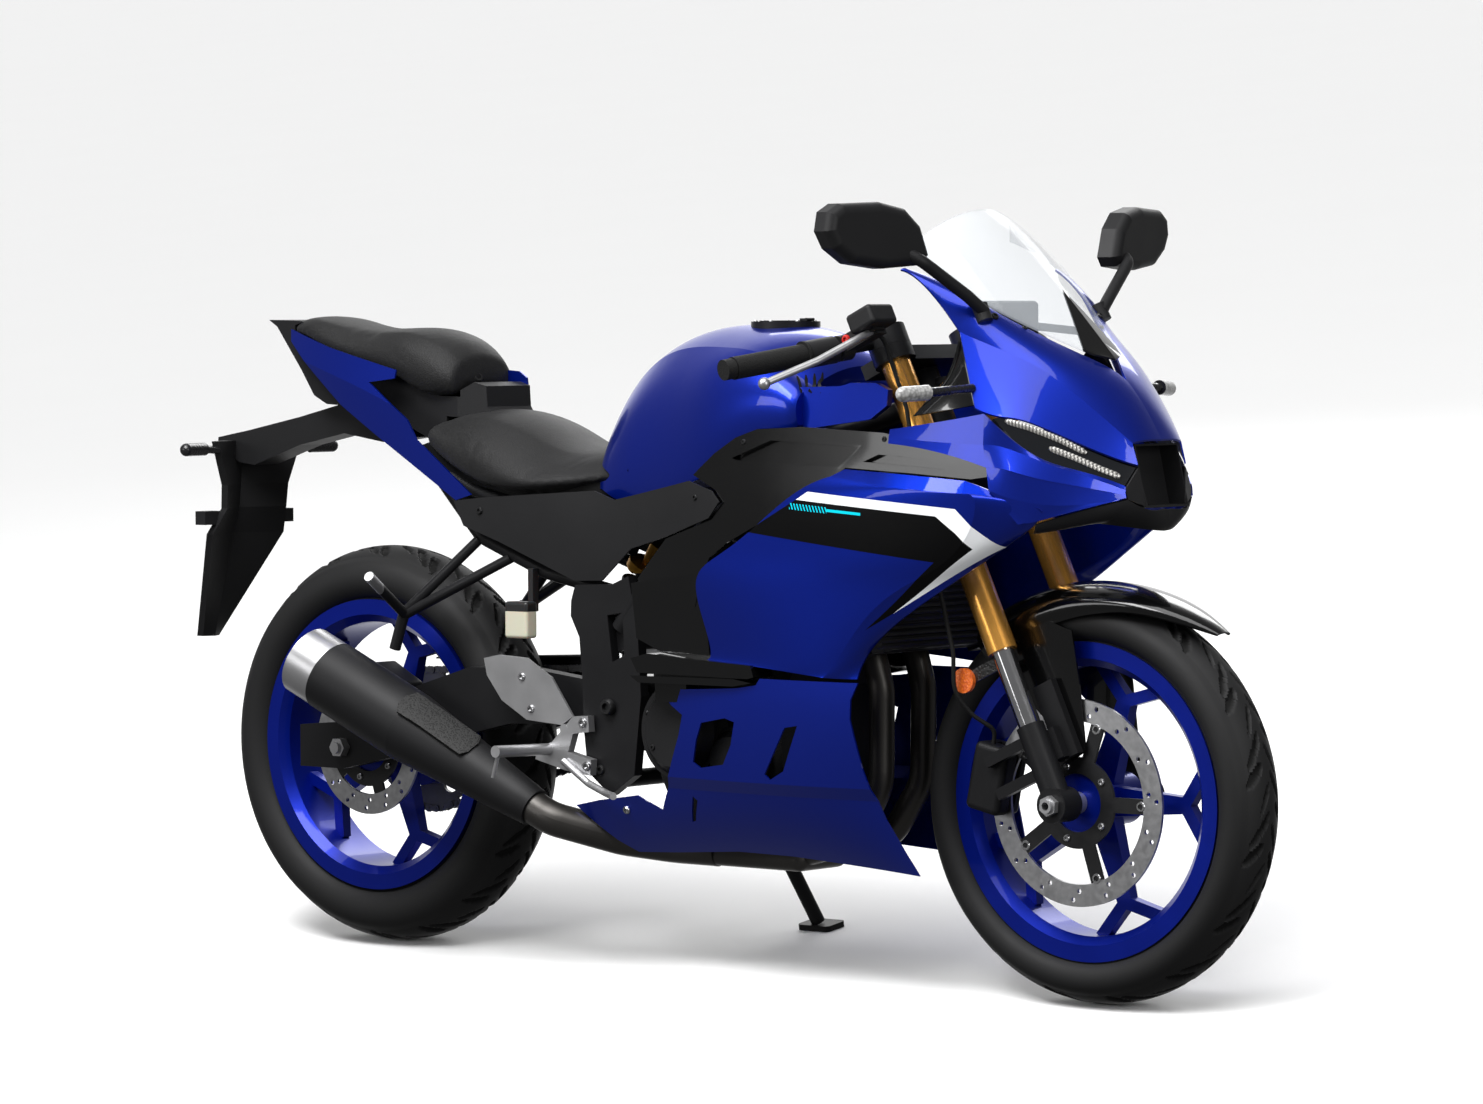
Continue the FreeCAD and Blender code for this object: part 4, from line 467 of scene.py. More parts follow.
# Shock and pillion hangers. A coil over a black damper whose preload collar is gold anodised,
# and black hangers with bare alloy pegs. Both finishes change from black to metal at a plane.
COLLAR_HEIGHT, PEG_START = 0.598, 0.212
COLLAR_GOLD, BARE_ALLOY = (0.7, 0.36, 0.05, 1), (0.5, 0.5, 0.51, 1)
shock_paint = Finish("shock_paint", (0.012, 0.012, 0.013))
collar = shock_paint.along("Z") > COLLAR_HEIGHT
cloud = shock_paint.noise(60.0, 3.0)
shock_paint.feed("Roughness", cloud * 0.2 + 0.3).feed("Metallic", collar * 0.85)
shock_paint.feed("Base Color", shock_paint.mix(collar, shock_paint.colour, COLLAR_GOLD))
dress("rear_shock", shock_paint)
hanger_metal = Finish("hanger_metal", (0.010, 0.010, 0.011), Specular_IOR_Level=0.3)
peg = hanger_metal.outboard() > PEG_START
cloud = hanger_metal.noise(60.0, 3.0)
hanger_metal.feed("Metallic", peg * 0.85).feed("Roughness", cloud * 0.2 + 0.3)
hanger_metal.feed("Base Color", hanger_metal.mix(peg, hanger_metal.colour, BARE_ALLOY))
hanger_metal.bump(cloud, 0.3, 0.2)
dress("pillion_hangers", hanger_metal)

# Engine and exhaust. Cast alloy cases painted black behind a finned black radiator. Stainless
# headers, dulled by heat, run to a matt black silencer can with a bare alloy cap.
engine_black = Finish("engine_black", (0.014, 0.014, 0.015), Metallic=0.2, Specular_IOR_Level=0.25)
engine_black.wear(0.35, 0.38, 0.6, 14.0).bump(engine_black.noise(260.0, 4.0), 0.35, 0.4)
for part in ("engine_block", "engine_covers"):
    dress(part, engine_black)
core_black = Finish("core_black", (0.02, 0.02, 0.021), Metallic=0.4, Specular_IOR_Level=0.25)
fins = core_black.node("TexWave", {"bands_direction": "Z"}, {"Vector": core_black.spot(), "Scale": 42.0})
core_black.feed("Roughness", fins * 0.3 + 0.35).bump(fins, 0.8, 1.5)
dress("radiator", core_black)
can_black = Finish("can_black", (0.010, 0.010, 0.011), Metallic=0.1, Specular_IOR_Level=0.25)
can_black.wear(0.3, 0.45, 0.6, 9.0).bump(can_black.noise(600.0), 0.2, 0.1)
dress("silencer", can_black)
pipe_steel = Finish("pipe_steel", (0.09, 0.085, 0.08), Metallic=0.85)
pipe_steel.wear(0.4, 0.3, 0.5, 10.0)
dress("exhaust_pipes", pipe_steel)
dress("silencer_end_cap", alloy)

# Tank and bodywork. Steel tank and moulded panels in deep metallic blue under clear lacquer, with
# unpainted panels in grained black plastic and two infills in gloss black.
FLAKE_DARK, FLAKE_BRIGHT = (0.0006, 0.013, 0.28, 1), (0.0015, 0.024, 0.42, 1)


def lacquer(name, specular):
    """Blue with fine metal flakes under a clear coat."""
    blue = Finish(name, (0.001, 0.018, 0.34), Metallic=0.8, Specular_IOR_Level=specular, Coat_Weight=0.6,
                  Coat_Roughness=0.025)
    flake = blue.noise(2600.0, 1.0)
    blue.feed("Roughness", flake * 0.12 + 0.26)
    blue.feed("Base Color", blue.mix(flake, FLAKE_DARK, FLAKE_BRIGHT))
    return blue.bump(blue.noise(55.0, 1.0), 0.03, 0.2)


body_blue = lacquer("body_blue", 0.4)
for part in ("fuel_tank", "tail_fairings", "lower_cowls", "front_cowl"):
    dress(part, body_blue)
for part in ("side_covers", "tail_core", "rear_mudguard", "dashboard", "mirrors", "nose_chin"):
    dress(part, moulded_black)
dress("filler_ring", satin_black)
dress("filler_lid", satin_black)
dress("fairing_infills", gloss_black)

# Indicators. Moulded housings on short stalks, dark at the back. On the front pair everything
# outside the stalk is clear, with beads moulded into the lens.
STALK_END, STALK_BLACK = 0.283, (0.012, 0.012, 0.013, 1)
smoke_lens = Finish("smoke_lens", (0.014, 0.014, 0.015), Specular_IOR_Level=0.3, Coat_Weight=0.4,
                    Coat_Roughness=0.03)
beads = smoke_lens.grain(210.0)
reach, station = smoke_lens.outboard(), smoke_lens.along("X")
glazed = (reach > STALK_END) * (station > 0)
beaded = smoke_lens.mix(beads, (0.55, 0.55, 0.54, 1), (0.12, 0.12, 0.12, 1))
smoke_lens.feed("Roughness", beads * 0.3 + 0.08).bump(beads, 0.5, 0.8)
smoke_lens.feed("Base Color", smoke_lens.mix(glazed, STALK_BLACK, beaded))
dress("indicators", smoke_lens)

# Tail lamp and headlamps. A red lens with moulded cells closes the tail, and dark glossy covers
# are bonded over the lamp openings of the front cowl.
red_lens = Finish("red_lens", (0.45, 0.004, 0.006), IOR=1.49, Coat_Weight=0.8, Coat_Roughness=0.03)
cells = red_lens.grain(180.0)
red_lens.feed("Roughness", cells * 0.3 + 0.1).bump(cells, 0.4, 0.6)
dress("tail_lamp", red_lens)
lamp_lens = Finish("lamp_lens", (0.008, 0.009, 0.011), Specular_IOR_Level=0.3, Coat_Weight=0.5,
                   Coat_Roughness=0.02)
lamp_lens.wear(0.2, 0.08, 0.14, 20.0)
dress("headlamps", lamp_lens)

# Windscreen. A clear moulded acrylic screen on top of the front cowl. A tongue in its middle,
# which widens forward, is painted black.
TONGUE_TIP, TONGUE_SLOPE = 1.312, 0.62
clear_screen = Finish("clear_screen", (0.86, 0.9, 0.93), Roughness=0.03, IOR=1.49, Alpha=0.16)
tongue = clear_screen.outboard() < (clear_screen.along("X") - TONGUE_TIP) * TONGUE_SLOPE
cloud = clear_screen.noise(5.0, 2.0)
clear_screen.feed("Roughness", cloud * 0.03 + 0.02)
clear_screen.feed("Base Color", clear_screen.mix(tongue, (0.62, 0.66, 0.70, 1), (0.006, 0.006, 0.006, 1)))
clear_screen.feed("Alpha", tongue * 0.78 + 0.22)
dress("windscreen", clear_screen)

# Rear brake reservoir. A cloudy plastic pot of brake fluid, which shows its level, under a
# black screwed cap.
CAP_HEIGHT = 0.541
fluid_pot = Finish("fluid_pot", (0.62, 0.6, 0.5), Subsurface_Weight=0.2)
cap = fluid_pot.along("Z") > CAP_HEIGHT
cloud = fluid_pot.noise(30.0, 3.0)
fluid_pot.feed("Roughness", cloud * 0.15 + 0.3)
fluid_pot.feed("Base Color", fluid_pot.mix(cap, (0.55, 0.53, 0.42, 1), (0.012, 0.012, 0.013, 1)))
dress("rear_reservoir", fluid_pot)

# Flank graphic. A white stripe bent into an arrow with a black panel inside it, sprayed on the
# blue side fairings under the lacquer, with a row of bright ticks that run out into a thin line.
STRIPE = [[(1004, 735), (1278, 715), (1243, 704), (982, 723)],
          [(1278, 715), (1298, 696), (1276, 680), (1243, 704)],
          [(1298, 696), (1320, 675), (1298, 658), (1276, 680)],
          [(1320, 675), (1334, 661), (1298, 658)],
          [(1334, 661), (1152, 562), (1298, 658)]]
PANEL = [[(982, 723), (1243, 704), (1276, 680), (1298, 658), (1235, 638), (884, 674)],
         [(1298, 658), (1152, 562), (1106, 537), (1235, 638)]]
TICK_START, TICK_END, TICK_PITCH, TICK_SHARE, TICK_HALF = 970.0, 1044.0, 6.2, 0.42, 4.5
LINE_END, LINE_HALF, LINE_FALL, LINE_HEIGHT = 1108.0, 2.0, 0.066, 777.6
WHITE, INK, BRIGHT = (0.93, 0.95, 0.97, 1), (0.0012, 0.0012, 0.0014, 1), (0.0, 0.62, 0.78, 1)


def within(x, z, corners):
    """1 inside a convex outline of upright (station, height) corners, else 0."""
    middle_x = sum(c[0] for c in corners) / len(corners)
    middle_z = sum(c[1] for c in corners) / len(corners)
    mask = None
    for (ax, az), (bx, bz) in zip(corners, corners[1:] + corners[:1]):
        across, rising = bz - az, ax - bx
        edge = ax * across + az * rising
        if middle_x * across + middle_z * rising < edge:
            across, rising, edge = -across, -rising, -edge
        test = x * across + z * rising > edge
        mask = test if mask is None else mask * test
    return mask


def either(masks):
    """1 where any of the masks is."""
    total = masks[0]
    for mask in masks[1:]:
        total = total.step("MAXIMUM", total, mask)
    return total


flank_paint = lacquer("flank_paint", 0.12)
x, z = flank_paint.along("X") * 1000, flank_paint.along("Z") * 1000
facing = flank_paint.node("SeparateXYZ", {}, {0: flank_paint.node("TexCoord", {}, {}, 1)}, 1)
outward = facing * flank_paint.along("Y") > 0
stripe = either([within(x, z, corners) for corners in STRIPE]) * outward
panel = either([within(x, z, corners) for corners in PANEL]) * outward
drift = z + x * LINE_FALL - LINE_HEIGHT
beat = x.step("FRACT", (x + drift * 0.5) * (1 / TICK_PITCH), 0)
ticks = (beat < TICK_SHARE) * (x > TICK_START) * (x < TICK_END) * (drift < TICK_HALF) * (drift > -TICK_HALF)
line = (x > TICK_END) * (x < LINE_END) * (drift < LINE_HALF) * (drift > -LINE_HALF)
bright = either([ticks, line]) * outward
coated = Signal(flank_paint, flank_paint.shader.inputs["Base Color"].links[0].from_socket)
inked = flank_paint.mix(panel, coated, INK)
striped = flank_paint.mix(stripe, inked, WHITE)
flank_paint.feed("Base Color", flank_paint.mix(bright, striped, BRIGHT))
flank_paint.feed("Metallic", (1 - either([panel, stripe])) * 0.85)
flank_paint.feed("Coat Weight", (1 - panel) * 0.55 + 0.05)
dress("side_fairings", flank_paint)

# Seats. Foam on moulded bases under black grained leathercloth, pulled tight and blown up a
# little so that the crowns stand proud.
seat_cover = Finish("seat_cover", (0.010, 0.010, 0.0105), Specular_IOR_Level=0.2, Sheen_Weight=0.04)
pores = seat_cover.grain(430.0)
cloud = seat_cover.noise(14.0, 4.0)
seat_cover.feed("Roughness", cloud * 0.14 + pores * 0.16 + 0.42).bump(pores + cloud * 0.6, 0.6, 0.4)
seat_cover.feed("Base Color", seat_cover.mix(pores, (0.004, 0.004, 0.0042, 1), (0.013, 0.013, 0.0135, 1)))
VOXEL, SHRINK, PROUD, FILL = 0.0055, 0.002, 0.005, 0.8
PRESSURE, MOMENTS = 4.0, 20


def evaluated(thing, name):
    """The mesh that a piece's modifiers make, with the modifiers then gone."""
    graph = bpy.context.evaluated_depsgraph_get()
    mesh = bpy.data.meshes.new_from_object(thing.evaluated_get(graph))
    mesh.name = name
    thing.modifiers.clear()
    return mesh


def upholster(name, node):
    """Blows up a smaller copy of a seat's form under its cover, no further than the foam would."""
    mesh = frame["nodes"][node].data.copy()
    bm = bmesh.new()
    bm.from_mesh(mesh)
    bmesh.ops.remove_doubles(bm, verts=bm.verts, dist=1e-5)
    bm.to_mesh(mesh)
    bm.free()
    cushion = add(name, mesh, seat_cover, "chassis")
    skin = cushion.modifiers.new("skin", "REMESH")
    skin.mode, skin.voxel_size = "VOXEL", VOXEL
    cushion.data = evaluated(cushion, name)
    inward = [v.co - v.normal * SHRINK for v in cushion.data.vertices]
    for vertex, place in zip(cushion.data.vertices, inward):
        vertex.co = place
    cloth = cushion.modifiers.new("cover", "CLOTH").settings
    cloth.use_pressure, cloth.uniform_pressure_force = True, PRESSURE
    cloth.effector_weights.gravity = 0.0
    for moment in range(1, MOMENTS + 1):
        bpy.context.scene.frame_set(moment)
    blown = evaluated(cushion, name)
    for vertex, place, swollen in zip(cushion.data.vertices, inward, blown.vertices):
        move = swollen.co - place
        vertex.co = place + move * min(1.0, PROUD / max(move.length, 1e-9))
    bpy.context.scene.frame_set(1)
    even = cushion.modifiers.new("even", "SMOOTH")
    even.factor, even.iterations = 0.5, 1
    finer = cushion.modifiers.new("finer", "SUBSURF")
    finer.levels = finer.render_levels = 1
    cushion.data = evaluated(cushion, name)
    cushion.data.shade_smooth()
    cushion.data.materials.clear()
    cushion.data.materials.append(seat_cover.material)
    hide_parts(node)


upholster("rider_cushion", "rider_seat")
upholster("pillion_pad", "pillion_seat")

# Seat tray. Two black plastic walls stand under the rider's seat, inside the gap over the side
# covers, and close the view through the machine. Their near black is painted shade for that gap.
TRAY_EDGE = [(150, 790), (185, 800), (250, 775), (330, 752), (440, 742), (552, 738), (552, 688),
             (440, 688), (330, 690), (245, 700), (215, 725), (170, 757)]
TRAY_HALF, TRAY_WALL = 98, 4
# Near black, darker than the other black plastics: painted shade for the gap under the seat.
tray_black = Finish("tray_black", (0.006, 0.006, 0.0062), Specular_IOR_Level=0.15)
tray_black.wear(0.2, 0.5, 0.7, 14.0)
bm = bmesh.new()
for side in (1, -1):
    walls = [[bm.verts.new((x / 1000, side * half / 1000, z / 1000)) for x, z in TRAY_EDGE]
             for half in (TRAY_HALF, TRAY_HALF + TRAY_WALL)]
    bm.faces.new(walls[0])
    bm.faces.new(walls[1])
    wall_between(bm, *walls)
add("seat_tray", settle(bm, "seat_tray", 30.0), tray_black, "chassis")

# Screws. Socket and button heads hold the panels, discs, covers and brackets. One head is drawn
# and set on each place by a node tree, facing out of the surface that it clamps.
HEAD_HEIGHT, HEAD_SIDES = 0.62, 12
HEAD_RINGS = ((1.0, 0.0), (1.0, 0.55), (0.8, 1.0), (0.5, 1.0), (0.5, 0.35))


def as_pattern(name, bm):
    """A form that is set out many times and taken away afterwards."""
    mesh = bpy.data.meshes.new(name)
    bm.to_mesh(mesh)
    bm.free()
    pattern = bpy.data.objects.new(name, mesh)
    bpy.context.scene.collection.objects.link(pattern)
    return pattern


def screw_head(name):
    """A domed head of radius 1 with a socket sunk into it."""
    bm = bmesh.new()
    turns = [2 * math.pi * i / HEAD_SIDES for i in range(HEAD_SIDES)]
    loops = [[bm.verts.new((reach * math.cos(turn), reach * math.sin(turn), share * HEAD_HEIGHT))
              for turn in turns] for reach, share in HEAD_RINGS]
    for low_ring, high_ring in zip(loops, loops[1:]):
        wall_between(bm, low_ring, high_ring)
    bm.faces.new(reversed(loops[0]))
    bm.faces.new(loops[-1])
    return as_pattern(name, bm)


def placing_tree():
    """Sets a pattern object on every point, along the point's directions and at its size."""
    tree = bpy.data.node_groups.new("set_on_points", "GeometryNodeTree")
    face = tree.interface
    face.new_socket("Geometry", in_out="INPUT", socket_type="NodeSocketGeometry")
    face.new_socket("Pattern", in_out="INPUT", socket_type="NodeSocketObject")
    face.new_socket("Finish", in_out="INPUT", socket_type="NodeSocketMaterial")
    face.new_socket("Geometry", in_out="OUTPUT", socket_type="NodeSocketGeometry")
    source, result = tree.nodes.new("NodeGroupInput"), tree.nodes.new("NodeGroupOutput")
    pattern = tree.nodes.new("GeometryNodeObjectInfo")
    fields = []
    for title, kind in (("facing", "FLOAT_VECTOR"), ("running", "FLOAT_VECTOR"), ("size", "FLOAT")):
        field = tree.nodes.new("GeometryNodeInputNamedAttribute")
        field.data_type = kind
        field.inputs["Name"].default_value = title
        fields.append(field)
    facing, running, size = fields
    turn = tree.nodes.new("FunctionNodeAlignRotationToVector")
    turn.axis = "Z"
    spin = tree.nodes.new("FunctionNodeAlignRotationToVector")
    spin.axis, spin.pivot_axis = "X", "Z"
    place = tree.nodes.new("GeometryNodeInstanceOnPoints")
    real = tree.nodes.new("GeometryNodeRealizeInstances")
    coat = tree.nodes.new("GeometryNodeSetMaterial")
    for start, end in ((source.outputs["Geometry"], place.inputs["Points"]),
                       (source.outputs["Pattern"], pattern.inputs["Object"]),
                       (pattern.outputs["Geometry"], place.inputs["Instance"]),
                       (facing.outputs["Attribute"], turn.inputs["Vector"]),
                       (turn.outputs["Rotation"], spin.inputs["Rotation"]),
                       (running.outputs["Attribute"], spin.inputs["Vector"]),
                       (spin.outputs["Rotation"], place.inputs["Rotation"]),
                       (size.outputs["Attribute"], place.inputs["Scale"]),
                       (place.outputs["Instances"], real.inputs["Geometry"]),
                       (real.outputs["Geometry"], coat.inputs["Geometry"]),
                       (source.outputs["Finish"], coat.inputs["Material"]),
                       (coat.outputs["Geometry"], result.inputs["Geometry"])):
        tree.links.new(start, end)
    return tree


PLACING = placing_tree()


def set_out(name, pattern, places, finish, body):
    """Joins copies of a pattern, one at each (place, facing, running, size), into one piece."""
    points = bpy.data.meshes.new(name)
    points.from_pydata([tuple(p[0]) for p in places], [], [])
    for column, title in ((1, "facing"), (2, "running"), (3, "size")):
        field = points.attributes.new(title, "FLOAT" if title == "size" else "FLOAT_VECTOR", "POINT")
        for spot, entry in zip(field.data, places):
            setattr(spot, "value" if title == "size" else "vector", entry[column])
    thing = bpy.data.objects.new(name, points)
    bpy.context.scene.collection.objects.link(thing)
    layer = thing.modifiers.new("set_out", "NODES")
    layer.node_group = PLACING
    given = {"Pattern": pattern, "Finish": finish.material}
    for item in PLACING.interface.items_tree:
        if item.in_out == "INPUT" and item.name in given:
            layer[item.identifier] = given[item.name]
    mesh = evaluated(thing, name)
    bpy.data.objects.remove(thing)
    mesh.shade_smooth()
    mesh.set_sharp_from_angle(angle=math.radians(35))
    return add(name, mesh, finish, body)


def surface(node):
    """The faces of a solid, to be probed from outside."""
    mesh = frame["nodes"][node].data
    return BVHTree.FromPolygons([v.co for v in mesh.vertices], [p.vertices for p in mesh.polygons])


def probe(skin, x, z, side):
    """Where a line from one side of the machine meets a solid, and which way the face looks."""
    way = aim(0, -side, 0)
    place, facing, _, _ = skin.ray_cast(at(x, -side * PROBE_REACH, z), way)
    return place, facing if facing.dot(way) < 0 else -facing


bright_screw = Finish("bright_screw", (0.55, 0.55, 0.56), Metallic=1.0)
bright_screw.wear(0.2, 0.2, 0.35, 60.0)
black_screw = Finish("black_screw", (0.02, 0.02, 0.021), Metallic=0.5)
black_screw.wear(0.3, 0.3, 0.45, 60.0)
SCREW = screw_head("screw_pattern")
RIGHT, LEFT = -1, 1
PROBE_REACH, SUNK = 600.0, 0.0004


def screws(name, node, spots, finish, body, sides=(RIGHT, LEFT)):
    """Heads of some radius in millimetres, at (station, height, radius) on both sides of a node."""
    skin = surface(node)
    places = []
    for side in sides:
        for x, z, radius in spots:
            place, facing = probe(skin, x, z, side)
            places.append((place - facing * SUNK, facing, aim(1, 0, 0), radius / 1000))
    return set_out(name, SCREW, places, finish, body)


def ring_of_places(axle, half, reach, count, start, size):
    """Places on a circle round an axle, facing out of the side that they are on."""
    out = []
    for i in range(count):
        turn = math.radians(start + 360.0 * i / count)
        out.append((at(axle[0] + reach * math.cos(turn), half, axle[1] + reach * math.sin(turn)),
                    aim(0, -1 if half > 0 else 1, 0), aim(1, 0, 0), size / 1000))
    return out


def round_a_circle(x, y, reach_x, reach_y, turns):
    """Places on a circle or an oval, at turns in radians."""
    return [(x + reach_x * math.cos(turn), y + reach_y * math.sin(turn)) for turn in turns]


# Disc bolts, bobbins and sprocket nuts. Plated steel heads in rings round the axles, screwed into
# the hubs and carriers, so they turn with their wheels.
set_out("front_disc_bobbins", SCREW, ring_of_places(FRONT_AXLE, 56.2, 112.0, 5, 0, 8.5)
        + ring_of_places(FRONT_AXLE, 60.0, 54.0, 5, 36, 5.5), bright_screw, "front_wheel")
set_out("rear_disc_bolts", SCREW, ring_of_places(REAR_AXLE, 67.0, 54.0, 5, 36, 5.5), bright_screw,
        "rear_wheel")
set_out("sprocket_nuts", SCREW, ring_of_places(REAR_AXLE, -88.8, 56.0, 6, 30, 7.0), bright_screw,
        "rear_wheel")

# Panel and bracket screws. Plated or blackened steel heads, each set on the face of the solid that
# it holds. They come in pairs, right and left, but the belly has one on its right side only.
OVAL_TURNS, RING_TURNS = (0.2, 1.1, 2.0, 3.0, 3.9, 4.9, 5.7), (0.5, 1.4, 2.3, 3.2, 4.1, 5.0, 5.9)
screws("footrest_screws", "rider_footrests",
       [(412, 442, 6.5), (430, 394, 6.5), (536, 377, 7.5), (544, 312, 7.5)], bright_screw, "chassis")
screws("cover_screws", "side_covers", [(298, 692, 6.0), (770, 722, 4.5)], black_screw, "chassis")
screws("belly_screws", "lower_cowls", [(612, 249, 6.5)], bright_screw, "chassis", (RIGHT,))
screws("mudguard_screws", "front_mudguard", [(1336, 453, 6.5), (1353, 407, 6.5)], bright_screw,
       "steering")
screws("frame_screws", "main_frame", [(556, 306, 7.5), (575, 402, 13.0)], black_screw, "chassis")
screws("infill_screws", "fairing_infills", [(862, 805, 4.0), (1130, 812, 4.0)], black_screw, "chassis")
screws("engine_screws", "engine_covers",
       [(x, z, 4.5) for x, z in round_a_circle(712, 389, 52, 62, OVAL_TURNS)], black_screw, "chassis")
screws("cowl_screws", "front_cowl", [(1314, 971, 4.0), (1286, 987, 6.0)], black_screw, "chassis")
set_out("pad_lock", SCREW, [(at(191, 15.6, 894), aim(0.86, -0.2, 0.45), aim(0, 1, 0), 0.0088)],
        black_screw, "chassis")
set_out("filler_screws", SCREW,
        [(at(x, half, 981), aim(0, 0, 1), aim(1, 0, 0), 0.003)
         for x, half in round_a_circle(800, 0, 45.5, 45.5, RING_TURNS)],
        bright_screw, "chassis")

# Engine stop switch. A red moulded button in the right switch housing, under the rider's thumb.
# It is round like a screw head and is set on the housing in the same way.
switch_red = Finish("switch_red", (0.55, 0.012, 0.01), Roughness=0.35)
switch_red.wear(0.2, 0.3, 0.45, 60.0)
screws("kill_switch", "hand_controls", [(1063, 955, 7.0)], switch_red, "steering", (RIGHT,))

# Chain. Roller chain of riveted side plates, a pitch of five eighths of an inch. Two kinds of
# link follow each other round the pitch line of the sprockets.
PITCH, CHAIN_HALF, REAR_TEETH, FRONT_TEETH = 15.875, -86.0, 44, 14
DRIVE = (657.0, 418.0)
REAR_PITCH = PITCH / (2 * math.sin(math.pi / REAR_TEETH))
FRONT_PITCH = PITCH / (2 * math.sin(math.pi / FRONT_TEETH))
SPAN = math.hypot(DRIVE[0] - REAR_AXLE[0], DRIVE[1] - REAR_AXLE[1])
TILT = math.atan2(DRIVE[1] - REAR_AXLE[1], DRIVE[0] - REAR_AXLE[0])
WRAP = math.asin((REAR_PITCH - FRONT_PITCH) / SPAN)
TOP, LOW = TILT + math.pi / 2 - WRAP, TILT - math.pi / 2 + WRAP
STRAIGHT = SPAN * math.cos(WRAP)
FRONT_ARC, REAR_ARC = FRONT_PITCH * (TOP - LOW), REAR_PITCH * (2 * math.pi - (TOP - LOW))
CHAIN_LENGTH = 2 * STRAIGHT + FRONT_ARC + REAR_ARC
LINKS = int(round(CHAIN_LENGTH / PITCH / 2)) * 2
PLATE_THICK, PLATE_RADIUS, PLATE_WAIST, PLATE_STEPS = 1.6, 6.2, 4.4, 5


def off_sprocket(hub, radius, turn, run=0.0):
    """A place on a sprocket's pitch circle, or a run along the line that leaves it there."""
    way = turn - math.pi / 2
    return (hub[0] + radius * math.cos(turn) + run * math.cos(way),
            hub[1] + radius * math.sin(turn) + run * math.sin(way), way)


def chain_place(gone):
    """Station, height and direction of the pitch line after some length of it is gone."""
    if gone < STRAIGHT:
        return off_sprocket(REAR_AXLE, REAR_PITCH, TOP, gone)
    if gone < STRAIGHT + FRONT_ARC:
        return off_sprocket(DRIVE, FRONT_PITCH, TOP - (gone - STRAIGHT) / FRONT_PITCH)
    if gone < 2 * STRAIGHT + FRONT_ARC:
        return off_sprocket(DRIVE, FRONT_PITCH, LOW, gone - STRAIGHT - FRONT_ARC)
    return off_sprocket(REAR_AXLE, REAR_PITCH, LOW - (gone - 2 * STRAIGHT - FRONT_ARC) / REAR_PITCH)


def link_pattern(name, offset, roller, proud):
    """Two waisted side plates with a roller or pin at each end, in millimetres, X along the run."""
    bm = bmesh.new()
    outline = []
    for side in (1, -1):
        for k in range(PLATE_STEPS):
            turn = math.pi * (1 - side / 2) - math.pi * (k + 0.5) / PLATE_STEPS
            outline.append((side * PITCH / 2 + PLATE_RADIUS * math.cos(turn),
                            PLATE_RADIUS * math.sin(turn)))
        outline.append((0, -side * PLATE_WAIST))
    for wall in (offset, -offset - PLATE_THICK):
        base = [bm.verts.new((x, y, wall)) for x, y in outline]
        lid = [bm.verts.new((x, y, wall + PLATE_THICK)) for x, y in outline]
        bm.faces.new(reversed(base))
        bm.faces.new(lid)
        wall_between(bm, base, lid)
    for end in (-PITCH / 2, PITCH / 2):
        bmesh.ops.create_cone(bm, cap_ends=True, segments=8, radius1=roller, radius2=roller,
                              depth=2 * (offset + PLATE_THICK) + proud,
                              matrix=Matrix.Translation((end, 0, 0)))
    bmesh.ops.recalc_face_normals(bm, faces=bm.faces)
    return as_pattern(name, bm)


for kind, pattern in enumerate((link_pattern("outer_link", 5.6, 2.6, 1.6),
                                link_pattern("inner_link", 3.6, 5.0, -1.0))):
    spots = [(at(x, CHAIN_HALF, z), aim(0, 1, 0), aim(math.cos(turn), 0, math.sin(turn)), 0.001)
             for x, z, turn in (chain_place(CHAIN_LENGTH * i / LINKS) for i in range(kind, LINKS, 2))]
    links = set_out("chain_" + pattern.name, pattern, spots, dark_steel, "chassis")
    if kind == 0:
        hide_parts("chain")
    bpy.data.objects.remove(pattern)

# Light guides. Clear moulded strips with fine ribs lie on the dark headlamp covers, two on each
# side, and follow their curve. They are drawn unlit.
BED, EDGE_TAPER, STRIP_STEPS = 0.0012, 0.45, 6


def ribbon(name, node, runs, wide, thick, finish, body):
    """Flat strips of some width that follow a solid's face between places on it, in millimetres."""
    skin = surface(node)
    bm = bmesh.new()
    for run in runs:
        spots = [at(*place) for place in run]
        line = [a.lerp(b, i / STRIP_STEPS) for a, b in zip(spots, spots[1:]) for i in range(STRIP_STEPS)]
        lifted = [skin.find_nearest(place)[:2] for place in line + spots[-1:]]
        last = len(lifted) - 1
        rows = []
        for i, (place, normal) in enumerate(lifted):
            ahead = lifted[min(i + 1, last)][0] - lifted[max(i - 1, 0)][0]
            aside = ahead.cross(normal).normalized()
            taper = EDGE_TAPER if i in (0, last) else 1.0
            half, lift = aside * wide / 2000 * taper, normal * thick / 1000
            rows.append([bm.verts.new(place + offset) for offset in (
                half - normal * BED, half + lift * 0.5, half * 0.6 + lift, half * -0.6 + lift,
                half * -1 + lift * 0.5, half * -1 - normal * BED)])
        for near_row, far_row in zip(rows, rows[1:]):
            wall_between(bm, near_row, far_row)
        bm.faces.new(rows[0])
        bm.faces.new(reversed(rows[-1]))
    return add(name, settle(bm, name, 40.0, Matrix()), finish, body)


def both_sides(runs):
    """Runs of places on the right side, each with its twin on the left."""
    return [[(x, half * side, z) for x, half, z in run] for run in runs for side in (1, -1)]


